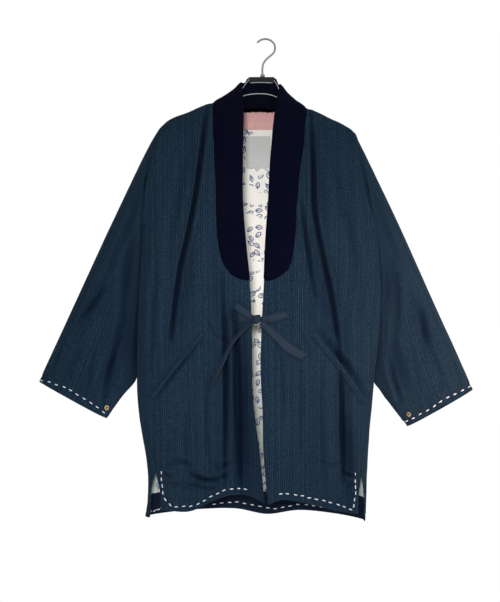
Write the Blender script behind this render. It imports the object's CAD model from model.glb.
import math

import bpy
import numpy as np
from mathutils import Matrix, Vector
from mathutils.bvhtree import BVHTree


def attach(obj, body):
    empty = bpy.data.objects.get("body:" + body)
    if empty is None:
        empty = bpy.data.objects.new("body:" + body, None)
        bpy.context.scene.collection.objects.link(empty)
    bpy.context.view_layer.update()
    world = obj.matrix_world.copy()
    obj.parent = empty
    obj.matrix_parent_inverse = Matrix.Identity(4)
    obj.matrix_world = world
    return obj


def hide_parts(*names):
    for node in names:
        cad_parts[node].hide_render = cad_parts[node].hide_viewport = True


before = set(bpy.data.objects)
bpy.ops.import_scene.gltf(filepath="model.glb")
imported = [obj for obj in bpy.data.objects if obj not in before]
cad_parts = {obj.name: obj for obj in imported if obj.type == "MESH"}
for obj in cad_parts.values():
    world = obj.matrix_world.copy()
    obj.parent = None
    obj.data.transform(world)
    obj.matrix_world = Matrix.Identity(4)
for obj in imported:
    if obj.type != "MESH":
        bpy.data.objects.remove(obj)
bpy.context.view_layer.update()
MM = 0.001

# Walls of each cloth
CLOTH_WALL = 2.4
COLLAR_WALL = 4.6
LINING_WALL = 1.0
LINING_GAP = 0.4
TAPE_WALL = 1.2
WELT_WALL = 1.6
LABEL_WALL = 0.8

# The form of the hanging coat, as it was cut and hung
ROUNDING = 2.4
FRONT_DEPTH = 52
BACK_DEPTH = 42
FRONT_FALL = 264
BACK_FALL = 172
ARMHOLE_DEPTH = 27
BACK_NECK_DEPTH = 38
BACK_NECK = (-10, -141)
COLLAR_CREST = (-10, 34, -84)
COLLAR_BULGE = 3
COLLAR_HOLLOW = 2.9
ROLL_START = 640
ROLL_END = 860
SLEEVE_RING_GROWTH = 1.15

# Rows and columns of each panel's mesh
SLIT_ROWS = 20
SIDE_ROWS = 90
ARMHOLE_ROWS = 56
LOW_ROWS = SLIT_ROWS + SIDE_ROWS
CORNER_ROW = 78
COLLAR_FOOT_ROW = 87
FRONT_COLUMNS = 84
NECK_COLUMNS = 48
COLLAR_STRIPS = 22
SLEEVE_RINGS = 118

SIDES = {
    "right": {
        "sign": -1,
        "shoulder": [(-105, -125), (-126, -131.5), (-154, -144), (-186, -156), (-206, -170)],
        "armhole": [(-206, -170), (-231, -250), (-244, -330), (-250, -376)],
        "side_line": [(-250, -376), (-253, -500), (-256, -680), (-254, -736), (-246, -792),
                      (-236, -862), (-236, -920), (-240, -953)],
        "seam_roll": 17,
        "front_slit": [(-219, -860), (-209, -898), (-207, -936)],
        "back_slit": [(-219, -860), (-228, -898), (-231, -952)],
        "front_edge": [(-2, -921), (-6, -880), (-12, -820), (-20, -760), (-26, -700), (-27, -600),
                       (-29, -536), (-32, -480)],
        "front_hem": [(-2, -921), (-36, -906), (-72, -906), (-108, -919), (-150, -938), (-207, -936)],
        "collar_foot": [(-32, -480), (-50, -478), (-68, -470)],
        "collar_seam": [(-68, -470), (-84, -448), (-94, -406), (-98, -340), (-99, -270), (-103, -190),
                        (-105, -125)],
        "collar_free": [(-32, -54, -480), (-41, -56, -392), (-46, -55, -320), (-46, -50, -220),
                        (-46, -42, -150), (-48, -26, -112), (-50, 0, -84)],
        "sleeve_outer": [(-206, -170), (-226, -201), (-304, -360), (-378, -520), (-452, -682)],
        "sleeve_inner": [(-250, -376), (-246.4, -404), (-245.8, -480), (-249.6, -600), (-253.2, -660),
                         (-258.6, -682), (-284, -712), (-316, -757)],
        "lower_tuck": 9,
    },
    "left": {
        "sign": 1,
        "shoulder": [(84, -136), (106, -144), (130, -156), (156, -168), (178, -183)],
        "armhole": [(178, -183), (190, -240), (208, -330), (240, -406)],
        "side_line": [(240, -406), (234, -520), (225, -620), (216, -700), (210, -776), (204, -862),
                      (203, -920), (201, -963)],
        "seam_roll": 12,
        "front_slit": [(192, -862), (186, -900), (185, -944)],
        "back_slit": [(192, -862), (198, -900), (199, -960)],
        "front_edge": [(6, -923), (4, -900), (0, -850), (-3, -808), (-4, -740), (-8, -660), (-6, -576),
                       (-1, -480)],
        "front_hem": [(6, -923), (32, -914), (62, -917), (96, -924), (140, -936), (185, -944)],
        "collar_foot": [(-1, -480), (14, -479), (28, -474)],
        "collar_seam": [(28, -474), (46, -458), (57, -420), (63, -350), (68, -270), (78, -200), (84, -136)],
        "collar_free": [(-1, -55, -480), (2, -57, -400), (7, -55, -330), (12, -50, -240), (20, -42, -160),
                        (28, -26, -117), (33, 0, -88)],
        "sleeve_outer": [(178, -183), (202, -232), (264, -360), (340, -529), (416, -698)],
        "sleeve_inner": [(240, -406), (238, -421), (234.6, -466), (227.4, -540), (220.6, -630),
                         (217.8, -684), (229, -700), (250, -729), (284, -773)],
        "lower_tuck": 0,
    },
}
BACK_HEM = [(-231, -952), (-190, -948), (-118, -941), (-50, -940), (2, -951), (62, -943), (130, -949),
            (199, -960)]

# Broad valleys of the hung cloth: (x, z) at the top and the foot, half width, depth
FRONT_VALLEYS = [
    ((-120, -170), (-146, -380), 15, 7),
    ((-146, -380), (-190, -620), 17, 8),
    ((-82, -560), (-80, -880), 12, 6),
    ((-54, -600), (-50, -860), 9, 5),
    ((94, -180), (104, -400), 14, 6),
    ((104, -400), (152, -640), 17, 8),
    ((152, -640), (156, -860), 15, 8),
    ((70, -340), (98, -520), 12, 4),
]
BACK_VALLEYS = [
    ((-120, -220), (-150, -640), 20, 8),
    ((-60, -520), (-72, -880), 18, 6),
    ((96, -240), (130, -660), 20, 8),
    ((40, -480), (52, -860), 18, 6),
]
SLEEVE_VALLEYS = [
    ((-318, -480), (-372, -570), 14, 6),
    ((-290, -560), (-312, -700), 14, 7),
    ((-262, -400), (-270, -560), 14, 7),
    ((300, -520), (328, -640), 16, 6),
    ((252, -600), (276, -700), 14, 7),
    ((246, -430), (246, -560), 14, 6),
]
FRONT_FADE = (8, 80)
BACK_FADE = (6, 120)
SLEEVE_FADE = 5

# How close the columns stand to the seam, and how late the seam at the armhole pulls a panel in
COLUMN_CROWDING = 1.35
SEAM_TURN = 12

# How a fold fades at its ends, how much its steep side is drawn in and the ridge that stands beside it
VALLEY_END = 0.12
CREASE_END = 0.06
CREASE_TAPER = 0.7
STEEP_SIDE = 0.45
RIDGE = {"high": 0.38, "away": 1.9, "half": 0.8}

# How uneven each cloth is: height, width and length of its hills, from broad to small
PADDING_HILLS = [(1.5, 62, 120), (0.7, 27, 52), (0.3, 12, 19)]
COLLAR_HILLS = [(1.1, 30, 95), (0.5, 15, 40)]
LINING_HILLS = [(1.0, 34, 150), (0.5, 14, 46)]

# A sewn edge pulls in over this reach, and the padding rises beside it
SEAM_REACH = 3.2
SEAM_RISE = {"share": 0.45, "away": 11, "half": 6}

# Depth and lift of each sleeve at shares of its length
SLEEVE_FORM = [(0, 27, 0), (0.12, 32, 3), (0.4, 34, 9), (0.75, 29, 9), (1, 23, 5)]

# Creases by hand: half width, depth, which side is steep (-1 to 1), then the line's (x, z) points
FRONT_CREASES = [
    (3.8, 7.0, 0, [(-121, -593), (-174, -657), (-222, -719)]),
    (7, 8.5, 0, [(106, -582), (158, -646), (207, -718)]),
    (4.5, 13, 0.4, [(-118, -138), (-128, -230), (-140, -320), (-156, -400), (-170, -460), (-188, -596)]),
    (10, 4, 0, [(-150, -200), (-176, -330), (-196, -470)]),
    (4.5, 9, 0.2, [(-88, -470), (-82, -560), (-80, -700), (-82, -890)]),
    (4.5, 9, -0.2, [(-60, -540), (-56, -640), (-52, -800), (-50, -890)]),
    (4, 3.6, 0, [(-112, -640), (-118, -740), (-112, -860)]),
    (7, 3.6, 0, [(-214, -420), (-222, -520), (-228, -640)]),
    (7, 3.0, 0, [(-150, -720), (-160, -800), (-152, -880)]),
    (3.4, 4.5, 0.3, [(-207, -862), (-196, -868), (-187, -870)]),
    (5, 12.0, 0.4, [(-150, -864), (-124, -876), (-100, -877), (-78, -866)]),
    (4, 7.0, 0.2, [(-196, -846), (-170, -840), (-146, -846)]),
    (4, 6.0, -0.2, [(-170, -892), (-140, -886), (-112, -892), (-84, -884)]),
    (5, 6.5, 0.2, [(-108, -846), (-92, -852), (-70, -842)]),
    (3.4, 4.5, 0, [(-196, -884), (-180, -886), (-162, -884)]),
    (4, 3.4, 0, [(-120, -560), (-98, -590), (-60, -606)]),
    (4.5, 10, -0.4, [(90, -146), (96, -260), (98, -338), (108, -400), (134, -526), (150, -640)]),
    (4.5, 8, -0.3, [(150, -640), (152, -716), (154, -800), (156, -880)]),
    (4, 7, 0.2, [(70, -320), (80, -400), (98, -514)]),
    (9, 3.2, 0, [(128, -210), (152, -330), (182, -450), (190, -560)]),
    (5, 3.6, 0, [(64, -600), (70, -700), (66, -840)]),
    (5, 3.2, 0, [(112, -640), (108, -760), (116, -880)]),
    (3.4, 7.0, 0.3, [(152, -858), (172, -868), (188, -864)]),
    (16, 7.0, 0, [(160, -760), (166, -840), (164, -930)]),
    (3.4, 5.0, 0.2, [(110, -838), (132, -846), (150, -840)]),
    (3.4, 4.0, -0.3, [(164, -888), (176, -884), (184, -892)]),
    (4, 3.0, 0, [(26, -600), (34, -690), (30, -800)]),
    (3.4, 3.0, 0, [(40, -560), (66, -580), (92, -640)]),
    (24, 11, 0, [(-58, -550), (-50, -700), (-40, -910)]),
]
BACK_CREASES = [
    (7, 9, 0.3, [(-116, -200), (-128, -330), (-146, -480), (-156, -640)]),
    (7, 5, 0, [(-60, -480), (-66, -640), (-74, -880)]),
    (6, 4, 0, [(-196, -330), (-206, -480), (-204, -640)]),
    (7, 8, -0.3, [(92, -210), (104, -330), (122, -500), (132, -660)]),
    (7, 5, 0, [(38, -450), (46, -640), (54, -860)]),
    (6, 4, 0, [(166, -330), (172, -470), (164, -640)]),
    (7, 3.4, 0, [(-12, -300), (-16, -520), (-10, -760)]),
    (5, 3.6, 0, [(-150, -850), (-120, -872), (-86, -866)]),
    (5, 3.4, 0, [(98, -860), (130, -876), (164, -868)]),
]
SLEEVE_CREASES = [
    (9, 6.0, 0, [(-266, -400), (-276, -450), (-281, -520), (-282, -600), (-280, -660)]),
    (5, 5.0, -0.2, [(-322, -496), (-346, -530), (-372, -560)]),
    (5, 7.0, 0.4, [(-290, -574), (-300, -620), (-314, -670), (-320, -706), (-326, -730)]),
    (7, 4.4, 0, [(-250, -300), (-282, -392), (-318, -470)]),
    (5, 3.4, 0, [(-360, -600), (-384, -650), (-396, -690)]),
    (5, 3.6, 0, [(-340, -620), (-350, -668), (-352, -720)]),
    (4, 2.8, 0, [(-404, -600), (-418, -640), (-424, -672)]),
    (7, 5.0, 0, [(256, -440), (262, -480), (262, -550), (256, -610)]),
    (6, 5.0, 0.3, [(306, -530), (314, -560), (322, -610)]),
    (5, 6.0, -0.3, [(248, -640), (256, -676), (270, -722)]),
    (6, 3.6, 0, [(214, -300), (242, -380), (272, -460)]),
    (5, 3.2, 0, [(330, -620), (344, -660), (350, -700)]),
    (5, 3.0, 0, [(290, -600), (300, -660), (304, -716)]),
    (4, 2.8, 0, [(376, -640), (386, -680), (388, -706)]),
]

# Pocket mouths, the tape at the neck and the label: where each lies, seen from the front
POCKETS = {
    "right": [(-127, -588), (-180, -652), (-228, -714)],
    "left": [(96, -590), (148, -654), (198, -727)],
}
WELT_WIDTH = 9
NECK_TAPE = {"x": (-84, 62), "z": (-176, -143)}
SIZE_LABEL = {"x": (-38, 11), "z": (-254, -190)}
SNAPS = {"right": (-316, -735), "left": (287, -748)}

# The tie: its knot, whose wraps each have a tilt, a width, a share of its reach and a shift across, then
# the places of each tape with its width as a vector
KNOT = {"place": (-16, -57, -558), "reach": (9, 6.5, 8), "wall": 1.3,
        "wraps": [(0.10, 12.5, 1.0, 0.0), (-0.5, 5.0, 0.86, -3.6)]}
TIE_TAPES = {
    "tie_band_right": [(-52, -48.6, -554, 0, 0, 14), (-34, -48.6, -556, 0, 0, 13),
                       (-16.6, -49.4, -558, 0, 0, 9)],
    "tie_band_left": [(20, -48.6, -560, 0, 0, 14), (2, -48.6, -559, 0, 0, 13),
                      (-15.4, -49.4, -558, 0, 0, 9)],
    "tie_loop_right": [(-26, -59.6, -554, 3, 0, 9), (-38, -63, -545, 5, 3, 12), (-50, -63.5, -537, 5, 4, 12),
                       (-58, -60.5, -532, 5, 0, 11), (-50, -57.5, -540, 5, 2, 11),
                       (-38, -56.8, -549, 5, 2, 10), (-26.2, -56, -560, 3, 0, 7)],
    "tie_loop_left": [(-7, -59.6, -557, 0, 0, 10), (8, -63, -556, -1, 0, 12), (28, -63.5, -552, -2, 0, 11),
                      (43, -60.5, -549, -2, 0, 8), (30, -57.5, -555, -1, 0, 11), (10, -56.8, -560, 0, 0, 11),
                      (-7, -56, -562, 0, 0, 8)],
    "tie_tail_right": [(-22.9, -58.4, -563.5, 3, -8, -4), (-40, -60, -576, 4, -10, -5),
                       (-64, -60, -602, 5, -10, -4), (-88, -59.5, -652, 6, -9, -3),
                       (-112, -58, -694, 4, -9, -1)],
    "tie_tail_left": [(-9.3, -58.8, -564.2, 6, 0, 8), (9, -59.5, -580, 9, -2, 9),
                      (30, -59.3, -600, 11, -3, 10), (44, -58.6, -613, 11, -3, 12),
                      (58, -58, -622, 10, -2, 13), (76, -57.5, -633, 14, -2, 8)],
}

# The hanger
BAR_EDGE = 5
BAR_CORE = 4
BAR_DROP = 4.6
BAR_NECK = [(-102, -143), (-84, -134), (-58, -118), (-46, -108), (-33, -82), (-29, -79), (15, -79),
            (19, -82), (30, -110), (42, -124), (64, -140), (81, -150)]
BAR_ARCH = [(163, -193), (120, -171), (60, -146), (-10, -131), (-80, -141), (-140, -164), (-190, -184)]
WIRE_HALF_WIDTH = 3
WIRE_HALF_DEPTH = 2.0
HOOK_LINE = [(-16.5, -6), (-8.5, -0.2), (1.5, 1.9), (12, -1.6), (18.8, -9.5), (20, -18), (17, -26),
             (10, -32.5), (2.5, -39), (-3, -47), (-5, -56), (-5, -73.7)]


# Lines and shapes

def places(points):
    """Points given as (x, z) or (x, y, z), as rows of x, y, z"""
    return np.array([(p[0], 0.0, p[1]) if len(p) == 2 else p[:3] for p in points], float)


class Line:
    """A smooth line through points, read by shares of its length"""

    def __init__(self, points, per_span=24):
        knots = places(points)
        runs = []
        for i in range(len(knots) - 1):
            start, end = knots[i], knots[i + 1]
            before = knots[i - 1] if i > 0 else 2 * start - end
            after = knots[i + 2] if i + 2 < len(knots) else 2 * end - start
            steps = [math.sqrt(np.linalg.norm(b - a)) for a, b in
                     ((before, start), (start, end), (end, after))]
            lead = ((start - before) / steps[0] - (end - before) / (steps[0] + steps[1])
                    + (end - start) / steps[1]) * steps[1]
            trail = ((end - start) / steps[1] - (after - start) / (steps[1] + steps[2])
                     + (after - end) / steps[2]) * steps[1]
            t = np.linspace(0, 1, per_span, endpoint=False)[:, None]
            runs.append((2 * t**3 - 3 * t**2 + 1) * start + (t**3 - 2 * t**2 + t) * lead
                        + (3 * t**2 - 2 * t**3) * end + (t**3 - t**2) * trail)
        self.points = np.concatenate(runs + [knots[-1:]])
        self.shares = run_shares(self.points)
        self.length = np.linalg.norm(np.diff(self.points, axis=0), axis=1).sum()

    def at(self, shares):
        return np.stack([np.interp(shares, self.shares, self.points[:, k]) for k in range(3)], -1)

    def heading(self, shares):
        step = 0.004
        ahead = self.at(np.clip(np.asarray(shares) + step, 0, 1))
        behind = self.at(np.clip(np.asarray(shares) - step, 0, 1))
        return unit(ahead - behind)


def run_shares(points):
    runs = np.concatenate([[0], np.cumsum(np.linalg.norm(np.diff(points, axis=0), axis=1))])
    return runs / runs[-1]


def unit(vectors):
    lengths = np.linalg.norm(vectors, axis=-1, keepdims=True)
    return vectors / np.maximum(lengths, 1e-9)


def value_at(keys, values, at):
    """Values between the rows of a table, smooth in between"""
    keys, values, at = (np.asarray(a, float) for a in (keys, values, at))
    last = len(keys) - 1
    i = np.clip(np.searchsorted(keys, at, side="right") - 1, 0, last - 1)

    def slope(k):
        a, b = np.maximum(k - 1, 0), np.minimum(k + 1, last)
        return (values[b] - values[a]) / (keys[b] - keys[a])

    span = keys[i + 1] - keys[i]
    t = np.clip((at - keys[i]) / span, 0, 1)
    ease = t * t * (3 - 2 * t)
    lead = t * (1 - t) ** 2 * span * slope(i)
    trail = t * t * (1 - t) * span * slope(i + 1)
    return values[i] + (values[i + 1] - values[i]) * ease + lead - trail


def line_x(rows, z):
    """How far across a line lies at a height"""
    ordered = sorted(rows, key=lambda row: row[1])
    return value_at([row[1] for row in ordered], [row[0] for row in ordered], z)


def smooth_step(value, low, high):
    t = np.clip((np.asarray(value, float) - low) / (high - low), 0, 1)
    return t * t * (3 - 2 * t)


def rounded(share):
    """A quarter of a rounded outline: 1 at its middle, 0 at its edge"""
    return (1 - np.minimum(np.abs(share), 1) ** ROUNDING) ** (1 / ROUNDING)


def outline(full, seam, share):
    middle = rounded(share)
    return full * middle + seam * (1 - middle) * np.abs(share) ** 3


def fall(drop, reach):
    inner = 1 - np.clip(drop, 0, reach) / reach
    return np.sqrt(np.maximum(1 - inner**2, 0))


def fade_at(fade, share, below):
    width, drop = fade
    return np.minimum(1, width * share) * np.minimum(1, below / drop)


def ends_fade(along, end):
    """1 at the middle of a line and little at its ends, where a share of it is cut off"""
    return np.sin(np.pi * np.clip(end + (1 - 2 * end) * along, 0, 1))


def valley_depth(valleys, x, z):
    """How deep the broad valleys press in at a place seen from the front"""
    total = np.zeros(np.broadcast(x, z).shape)
    for start, end, half, deep in valleys:
        run = np.subtract(end, start)
        t = np.clip(((x - start[0]) * run[0] + (z - start[1]) * run[1]) / (run @ run), 0, 1)
        away = np.hypot(x - start[0] - t * run[0], z - start[1] - t * run[1])
        total += deep * ends_fade(t, VALLEY_END) * np.exp(-((away / half) ** 2))
    return total


def crease_depth(creases, x, z):
    """How deep the hand-placed creases press in, with the soft ridges that stand beside them"""
    total = np.zeros(np.broadcast(x, z).shape)
    for half, deep, steep, path in creases:
        line = Line(path, per_span=4).points[:, [0, 2]]
        spans = np.diff(line, axis=0)
        lengths = np.linalg.norm(spans, axis=1)
        starts = np.concatenate([[0], np.cumsum(lengths)])
        nearest = np.full(total.shape, np.inf)
        side = np.zeros(total.shape)
        along = np.zeros(total.shape)
        for n, span in enumerate(spans):
            dx, dz = x - line[n, 0], z - line[n, 1]
            t = np.clip((dx * span[0] + dz * span[1]) / lengths[n] ** 2, 0, 1)
            away = np.hypot(dx - t * span[0], dz - t * span[1])
            closer = away < nearest
            nearest = np.where(closer, away, nearest)
            side = np.where(closer, np.sign(dx * span[1] - dz * span[0]), side)
            along = np.where(closer, (starts[n] + t * lengths[n]) / starts[-1], along)
        scaled = nearest / (half * (1 - STEEP_SIDE * steep * side))
        taper = ends_fade(along, CREASE_END) ** CREASE_TAPER
        ridge = RIDGE["high"] * np.exp(-(((scaled - RIDGE["away"]) / RIDGE["half"]) ** 2))
        total += deep * taper * (np.exp(-(scaled**2)) - ridge)
    return total


def hills(x, z, size_x, size_z, seed):
    """Smooth unevenness between -1 and 1, about one hill to each size"""
    cells = 64
    lattice = np.random.default_rng(seed).uniform(-1, 1, (cells, cells))
    u, v = x / size_x, z / size_z
    i, j = np.floor(u).astype(int), np.floor(v).astype(int)
    s, t = u - i, v - j
    s, t = s * s * (3 - 2 * s), t * t * (3 - 2 * t)
    low = lattice[i % cells, j % cells] * (1 - s) + lattice[(i + 1) % cells, j % cells] * s
    high = lattice[i % cells, (j + 1) % cells] * (1 - s) + lattice[(i + 1) % cells, (j + 1) % cells] * s
    return low * (1 - t) + high * t


# The cut panels, as grids of their outer points

def patch(first, last, foot, head, shares):
    """A patch between four edges, in the plane of the hanger"""
    up = run_shares(last)[:, None, None]
    s = shares[None, :, None]
    grid = (1 - s) * first[:, None] + s * last[:, None] + (1 - up) * foot[None] + up * head[None]
    grid -= (1 - s) * (1 - up) * foot[0] + s * (1 - up) * foot[-1]
    grid -= (1 - s) * up * head[0] + s * up * head[-1]
    return grid


def front_depth(side, z):
    return FRONT_DEPTH - side["lower_tuck"] * smooth_step(-z, ROLL_START, ROLL_END)


def column_shares():
    """Shares of a panel's width at its columns, closer together by the seam"""
    return 1 - (1 - np.linspace(0, 1, FRONT_COLUMNS + 1)) ** COLUMN_CROWDING


def seam_depth(edge, share):
    """How far the armhole seam pulls a panel from the hanger's plane, from its middle to its edge"""
    return ARMHOLE_DEPTH * (edge / ARMHOLE_DEPTH) ** (2 - np.minimum(share, 1) ** SEAM_TURN)


def on_section(side, points):
    """Puts points of the side seam or slit on the front's rounded section"""
    z = points[:, 2]
    middle = line_x(side["front_edge"], z)
    share = (points[:, 0] - middle) / (line_x(side["side_line"], z) - middle)
    points[:, 1] = -front_depth(side, z) * rounded(share)
    return points


def side_seam(side):
    slit_top = side["front_slit"][0][1]
    z = np.linspace(slit_top, side["armhole"][-1][1], SIDE_ROWS + 1)
    roll = side["seam_roll"] * smooth_step(-z, ROLL_START, -slit_top)
    return np.stack([line_x(side["side_line"], z) - side["sign"] * roll, 0 * z, z], -1)


def outer_edge(side, slit, facing):
    """The outer edge of a body panel from the hem up: slit, side seam, then armhole"""
    slit_points = Line(slit[::-1]).at(np.linspace(0, 1, SLIT_ROWS + 1))
    low = on_section(side, np.concatenate([slit_points[:-1], side_seam(side)]))
    turn = np.pi * (1 - np.arange(ARMHOLE_ROWS + 1) / ARMHOLE_ROWS)
    high = Line(side["armhole"]).at((1 - np.cos(turn)) / 2)
    high[:, 1] = facing * ARMHOLE_DEPTH * np.sin(turn)
    return low, high


def inner_edge(side, armhole_lengths):
    """The front edge, the rounded foot of the collar and the collar seam, from the hem up"""
    edge = Line(side["front_edge"]).at(np.linspace(0, 1, CORNER_ROW + 1))
    foot = Line(side["collar_foot"]).at(np.linspace(0, 1, COLLAR_FOOT_ROW - CORNER_ROW + 1))
    seam = Line(side["collar_seam"])
    upper = 1 - armhole_lengths / seam.length
    side_rows = LOW_ROWS - COLLAR_FOOT_ROW
    lower = upper[0] * np.arange(side_rows) / side_rows
    seam_points = seam.at(np.maximum(np.concatenate([lower, upper]), 0))
    return np.concatenate([edge[:-1], foot[:-1], seam_points])


def front_grid(side):
    low, high = outer_edge(side, side["front_slit"], -1)
    last = np.concatenate([low[:-1], high])
    first = inner_edge(side, np.linalg.norm(high - high[-1], axis=1))
    shares = column_shares()
    foot = Line(side["front_hem"]).at(shares)
    head = Line(side["shoulder"]).at(shares)
    grid = patch(first, last, foot, head, shares)
    rows = np.arange(len(grid))
    armhole = rows >= LOW_ROWS
    edge_x, inner_x = last[:, 0], grid[:, 0, 0]
    reach = np.where(armhole, 1, (edge_x - inner_x) / (line_x(side["side_line"], last[:, 2]) - inner_x))
    x, z = grid[..., 0], grid[..., 2]
    drop = head[None, :, 2] - z
    out = front_depth(side, z) * fall(drop, FRONT_FALL)
    seam = seam_depth(np.where(armhole, -last[:, 1], 0)[:, None], shares[None])
    grid[..., 1] = -outline(out, seam, shares[None] * reach[:, None])
    at_seam = np.ones(x.shape)
    at_seam[COLLAR_FOOT_ROW:, 0] = 0
    fade = fade_at(FRONT_FADE, 1 - shares[None], drop) * at_seam
    grid[..., 1] += valley_depth(FRONT_VALLEYS, x, z) * fade
    grid[:, -1] = last
    grid[-1] = head
    return grid


def back_neck(right, left):
    """The neck seam behind, between the two shoulder seams"""
    share = np.linspace(-1, 1, NECK_COLUMNS + 1)[1:-1]
    end = np.where(share[:, None] < 0, right, left)
    away = np.abs(share)
    x = BACK_NECK[0] + (end[:, 0] - BACK_NECK[0]) * away
    z = BACK_NECK[1] + (end[:, 2] - BACK_NECK[1]) * away**2
    return np.stack([x, BACK_NECK_DEPTH * rounded(away), z], -1)


def roll_round(share, centre, edge, silhouette, out):
    """The back's section where its side seam has rolled forward: x and y at a share of the width"""
    power = ROUNDING / 2

    def turn_of(part):
        return np.arccos(np.minimum(part, 1) ** power)

    start = turn_of(np.abs((edge[..., 0] - centre) / (silhouette - centre)))
    quarter = np.pi / 2
    turn = -start + (quarter + start) / quarter * turn_of(share)
    x = centre + (silhouette - centre) * np.maximum(np.cos(turn), 0) ** (1 / power)
    before = np.maximum(np.sin(-turn), 0) / np.maximum(np.sin(start), 1e-6)
    behind = np.maximum(np.sin(turn), 0)
    y = np.where(turn < 0, edge[..., 1] * before ** (1 / power), out * behind ** (1 / power))
    return x, y


def back_grid():
    right, left = SIDES["right"], SIDES["left"]
    right_low, right_high = outer_edge(right, right["back_slit"], 1)
    left_low, left_high = outer_edge(left, left["back_slit"], 1)
    first = np.concatenate([right_low[:-1], right_high])
    last = np.concatenate([left_low[:-1], left_high])
    right_shoulder = Line(right["shoulder"]).at(column_shares())[::-1]
    left_shoulder = Line(left["shoulder"]).at(column_shares())
    neck = back_neck(right_shoulder[-1], left_shoulder[0])
    head = np.concatenate([right_shoulder, neck, left_shoulder])
    shares = (head[:, 0] - head[0, 0]) / (head[-1, 0] - head[0, 0])
    foot = Line(BACK_HEM).at(shares)
    grid = patch(first, last, foot, head, shares)
    middle = (len(head) - 1) // 2
    on_right = (np.arange(len(head)) < middle)[None, :]
    edge = np.where(on_right[..., None], first[:, None], last[:, None])
    centre = grid[:, middle, 0][:, None]
    share = np.abs((grid[..., 0] - centre) / (edge[..., 0] - centre))
    drop = head[None, :, 2] - grid[..., 2]
    grown = fall(drop, BACK_FALL)
    out = BACK_DEPTH * grown + head[None, :, 1] * (1 - grown)
    silhouette = np.where(on_right, line_x(right["side_line"], edge[..., 2]),
                          line_x(left["side_line"], edge[..., 2]))
    rolled_x, rolled_y = roll_round(share, centre, edge, silhouette, out)
    low = (np.arange(len(grid)) < LOW_ROWS)[:, None]
    grid[..., 0] = np.where(low, rolled_x, grid[..., 0])
    seam = seam_depth(np.maximum(edge[..., 1], 0), share)
    grid[..., 1] = np.where(low, rolled_y, outline(out, seam, share))
    fade = fade_at(BACK_FADE, 1 - np.minimum(share, 1), drop)
    grid[..., 1] -= valley_depth(BACK_VALLEYS, grid[..., 0], grid[..., 2]) * fade
    grid[:, 0], grid[:, -1], grid[-1] = first, last, head
    return grid


def free_edge(side, seam):
    return Line(side["collar_free"]).at(run_shares(seam))


def collar_grid(front_right, front_left, back):
    """The collar: from the wearer's right front, round the neck, to the left front"""
    right_seam = front_right[COLLAR_FOOT_ROW:, 0]
    left_seam = front_left[COLLAR_FOOT_ROW:, 0][::-1]
    neck = back[-1, FRONT_COLUMNS + 1:FRONT_COLUMNS + NECK_COLUMNS]
    seam = np.concatenate([right_seam, neck, left_seam])
    right_free = free_edge(SIDES["right"], right_seam)
    left_free = free_edge(SIDES["left"], left_seam[::-1])[::-1]
    share = np.linspace(-1, 1, NECK_COLUMNS + 1)[1:-1]
    end = np.where(share[:, None] < 0, right_free[-1], left_free[0])
    away = np.abs(share)
    crest_x, crest_y, crest_z = COLLAR_CREST
    crest = np.stack([crest_x + (end[:, 0] - crest_x) * away, crest_y * rounded(away),
                      crest_z + (end[:, 2] - crest_z) * away**2], -1)
    free = np.concatenate([right_free, crest, left_free])
    across = np.linspace(0, 1, COLLAR_STRIPS + 1)
    grid = seam[:, None] + (free - seam)[:, None] * across[None, :, None]
    run_in = np.minimum(np.arange(len(seam)), np.arange(len(seam))[::-1])
    hollow = 1 - COLLAR_HOLLOW * smooth_step(seam[:, 2], -250, -140)
    bulge = COLLAR_BULGE * np.sin(np.pi * across)[None] * (hollow * np.minimum(1, run_in / 10))[:, None]
    lean = unit(np.stack([seam[:, 0] + free[:, 0] - 2 * BACK_NECK[0], seam[:, 1] + free[:, 1]], -1))
    grid[..., 0] += bulge * lean[:, None, 0]
    grid[..., 1] += bulge * lean[:, None, 1]
    blend_rows = 10
    for side, order in (("right", slice(None)), ("left", slice(None, None, -1))):
        rows = grid[order]
        foot = Line(SIDES[side]["collar_foot"]).at(1 - across)
        foot[:, 1] = rows[0, :, 1]
        shift = foot - rows[0]
        for i in range(blend_rows):
            rows[i] += shift * (1 - i / blend_rows) ** 2
    return grid


def sleeve_grid(side, front, back_edge):
    """A sleeve: rings from the armhole to the cuff, round from the outer fold by the front"""
    front_seam = front[LOW_ROWS:, -1][::-1]
    ring = np.concatenate([front_seam, back_edge[LOW_ROWS:][1:-1]])
    outer, inner = Line(side["sleeve_outer"]), Line(side["sleeve_inner"])
    along = (np.linspace(0, 1, SLEEVE_RINGS + 1)) ** SLEEVE_RING_GROWTH
    keys, depths, lifts = zip(*SLEEVE_FORM)
    depth = value_at(keys, depths, along)[:, None]
    lift = value_at(keys, lifts, along)[:, None]
    turn = (np.pi * np.arange(len(ring)) / ARMHOLE_ROWS)[None]
    facing = np.where(np.arange(len(ring)) <= ARMHOLE_ROWS, -1, 1)[None]
    share = ((1 - np.cos(turn)) / 2)[..., None]
    chord = ring[0] + (ring[ARMHOLE_ROWS] - ring[0]) * share[0]
    stray = ring - chord
    stray[:, 1] = 0
    top, under = outer.at(along)[:, None], inner.at(along)[:, None]
    grid = top + (under - top) * share + stray[None] * ((1 - along) ** 4)[:, None, None]
    press = valley_depth(SLEEVE_VALLEYS, grid[..., 0], grid[..., 2]) * np.abs(np.sin(turn))
    pressed = press * np.minimum(1, SLEEVE_FADE * along)[:, None]
    grid[..., 1] = lift + facing * (depth * np.abs(np.sin(turn)) - pressed)
    grid[0] = ring
    return grid


# Faces of a grid, distances on it, and its relief

def finer_rows(grid):
    """A row halfway between each two rows"""
    made = np.empty((2 * len(grid) - 1, *grid.shape[1:]))
    made[::2], made[1::2] = grid, (grid[1:] + grid[:-1]) / 2
    return made


def finer_columns(grid):
    return np.swapaxes(finer_rows(np.swapaxes(grid, 0, 1)), 0, 1)


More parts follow.
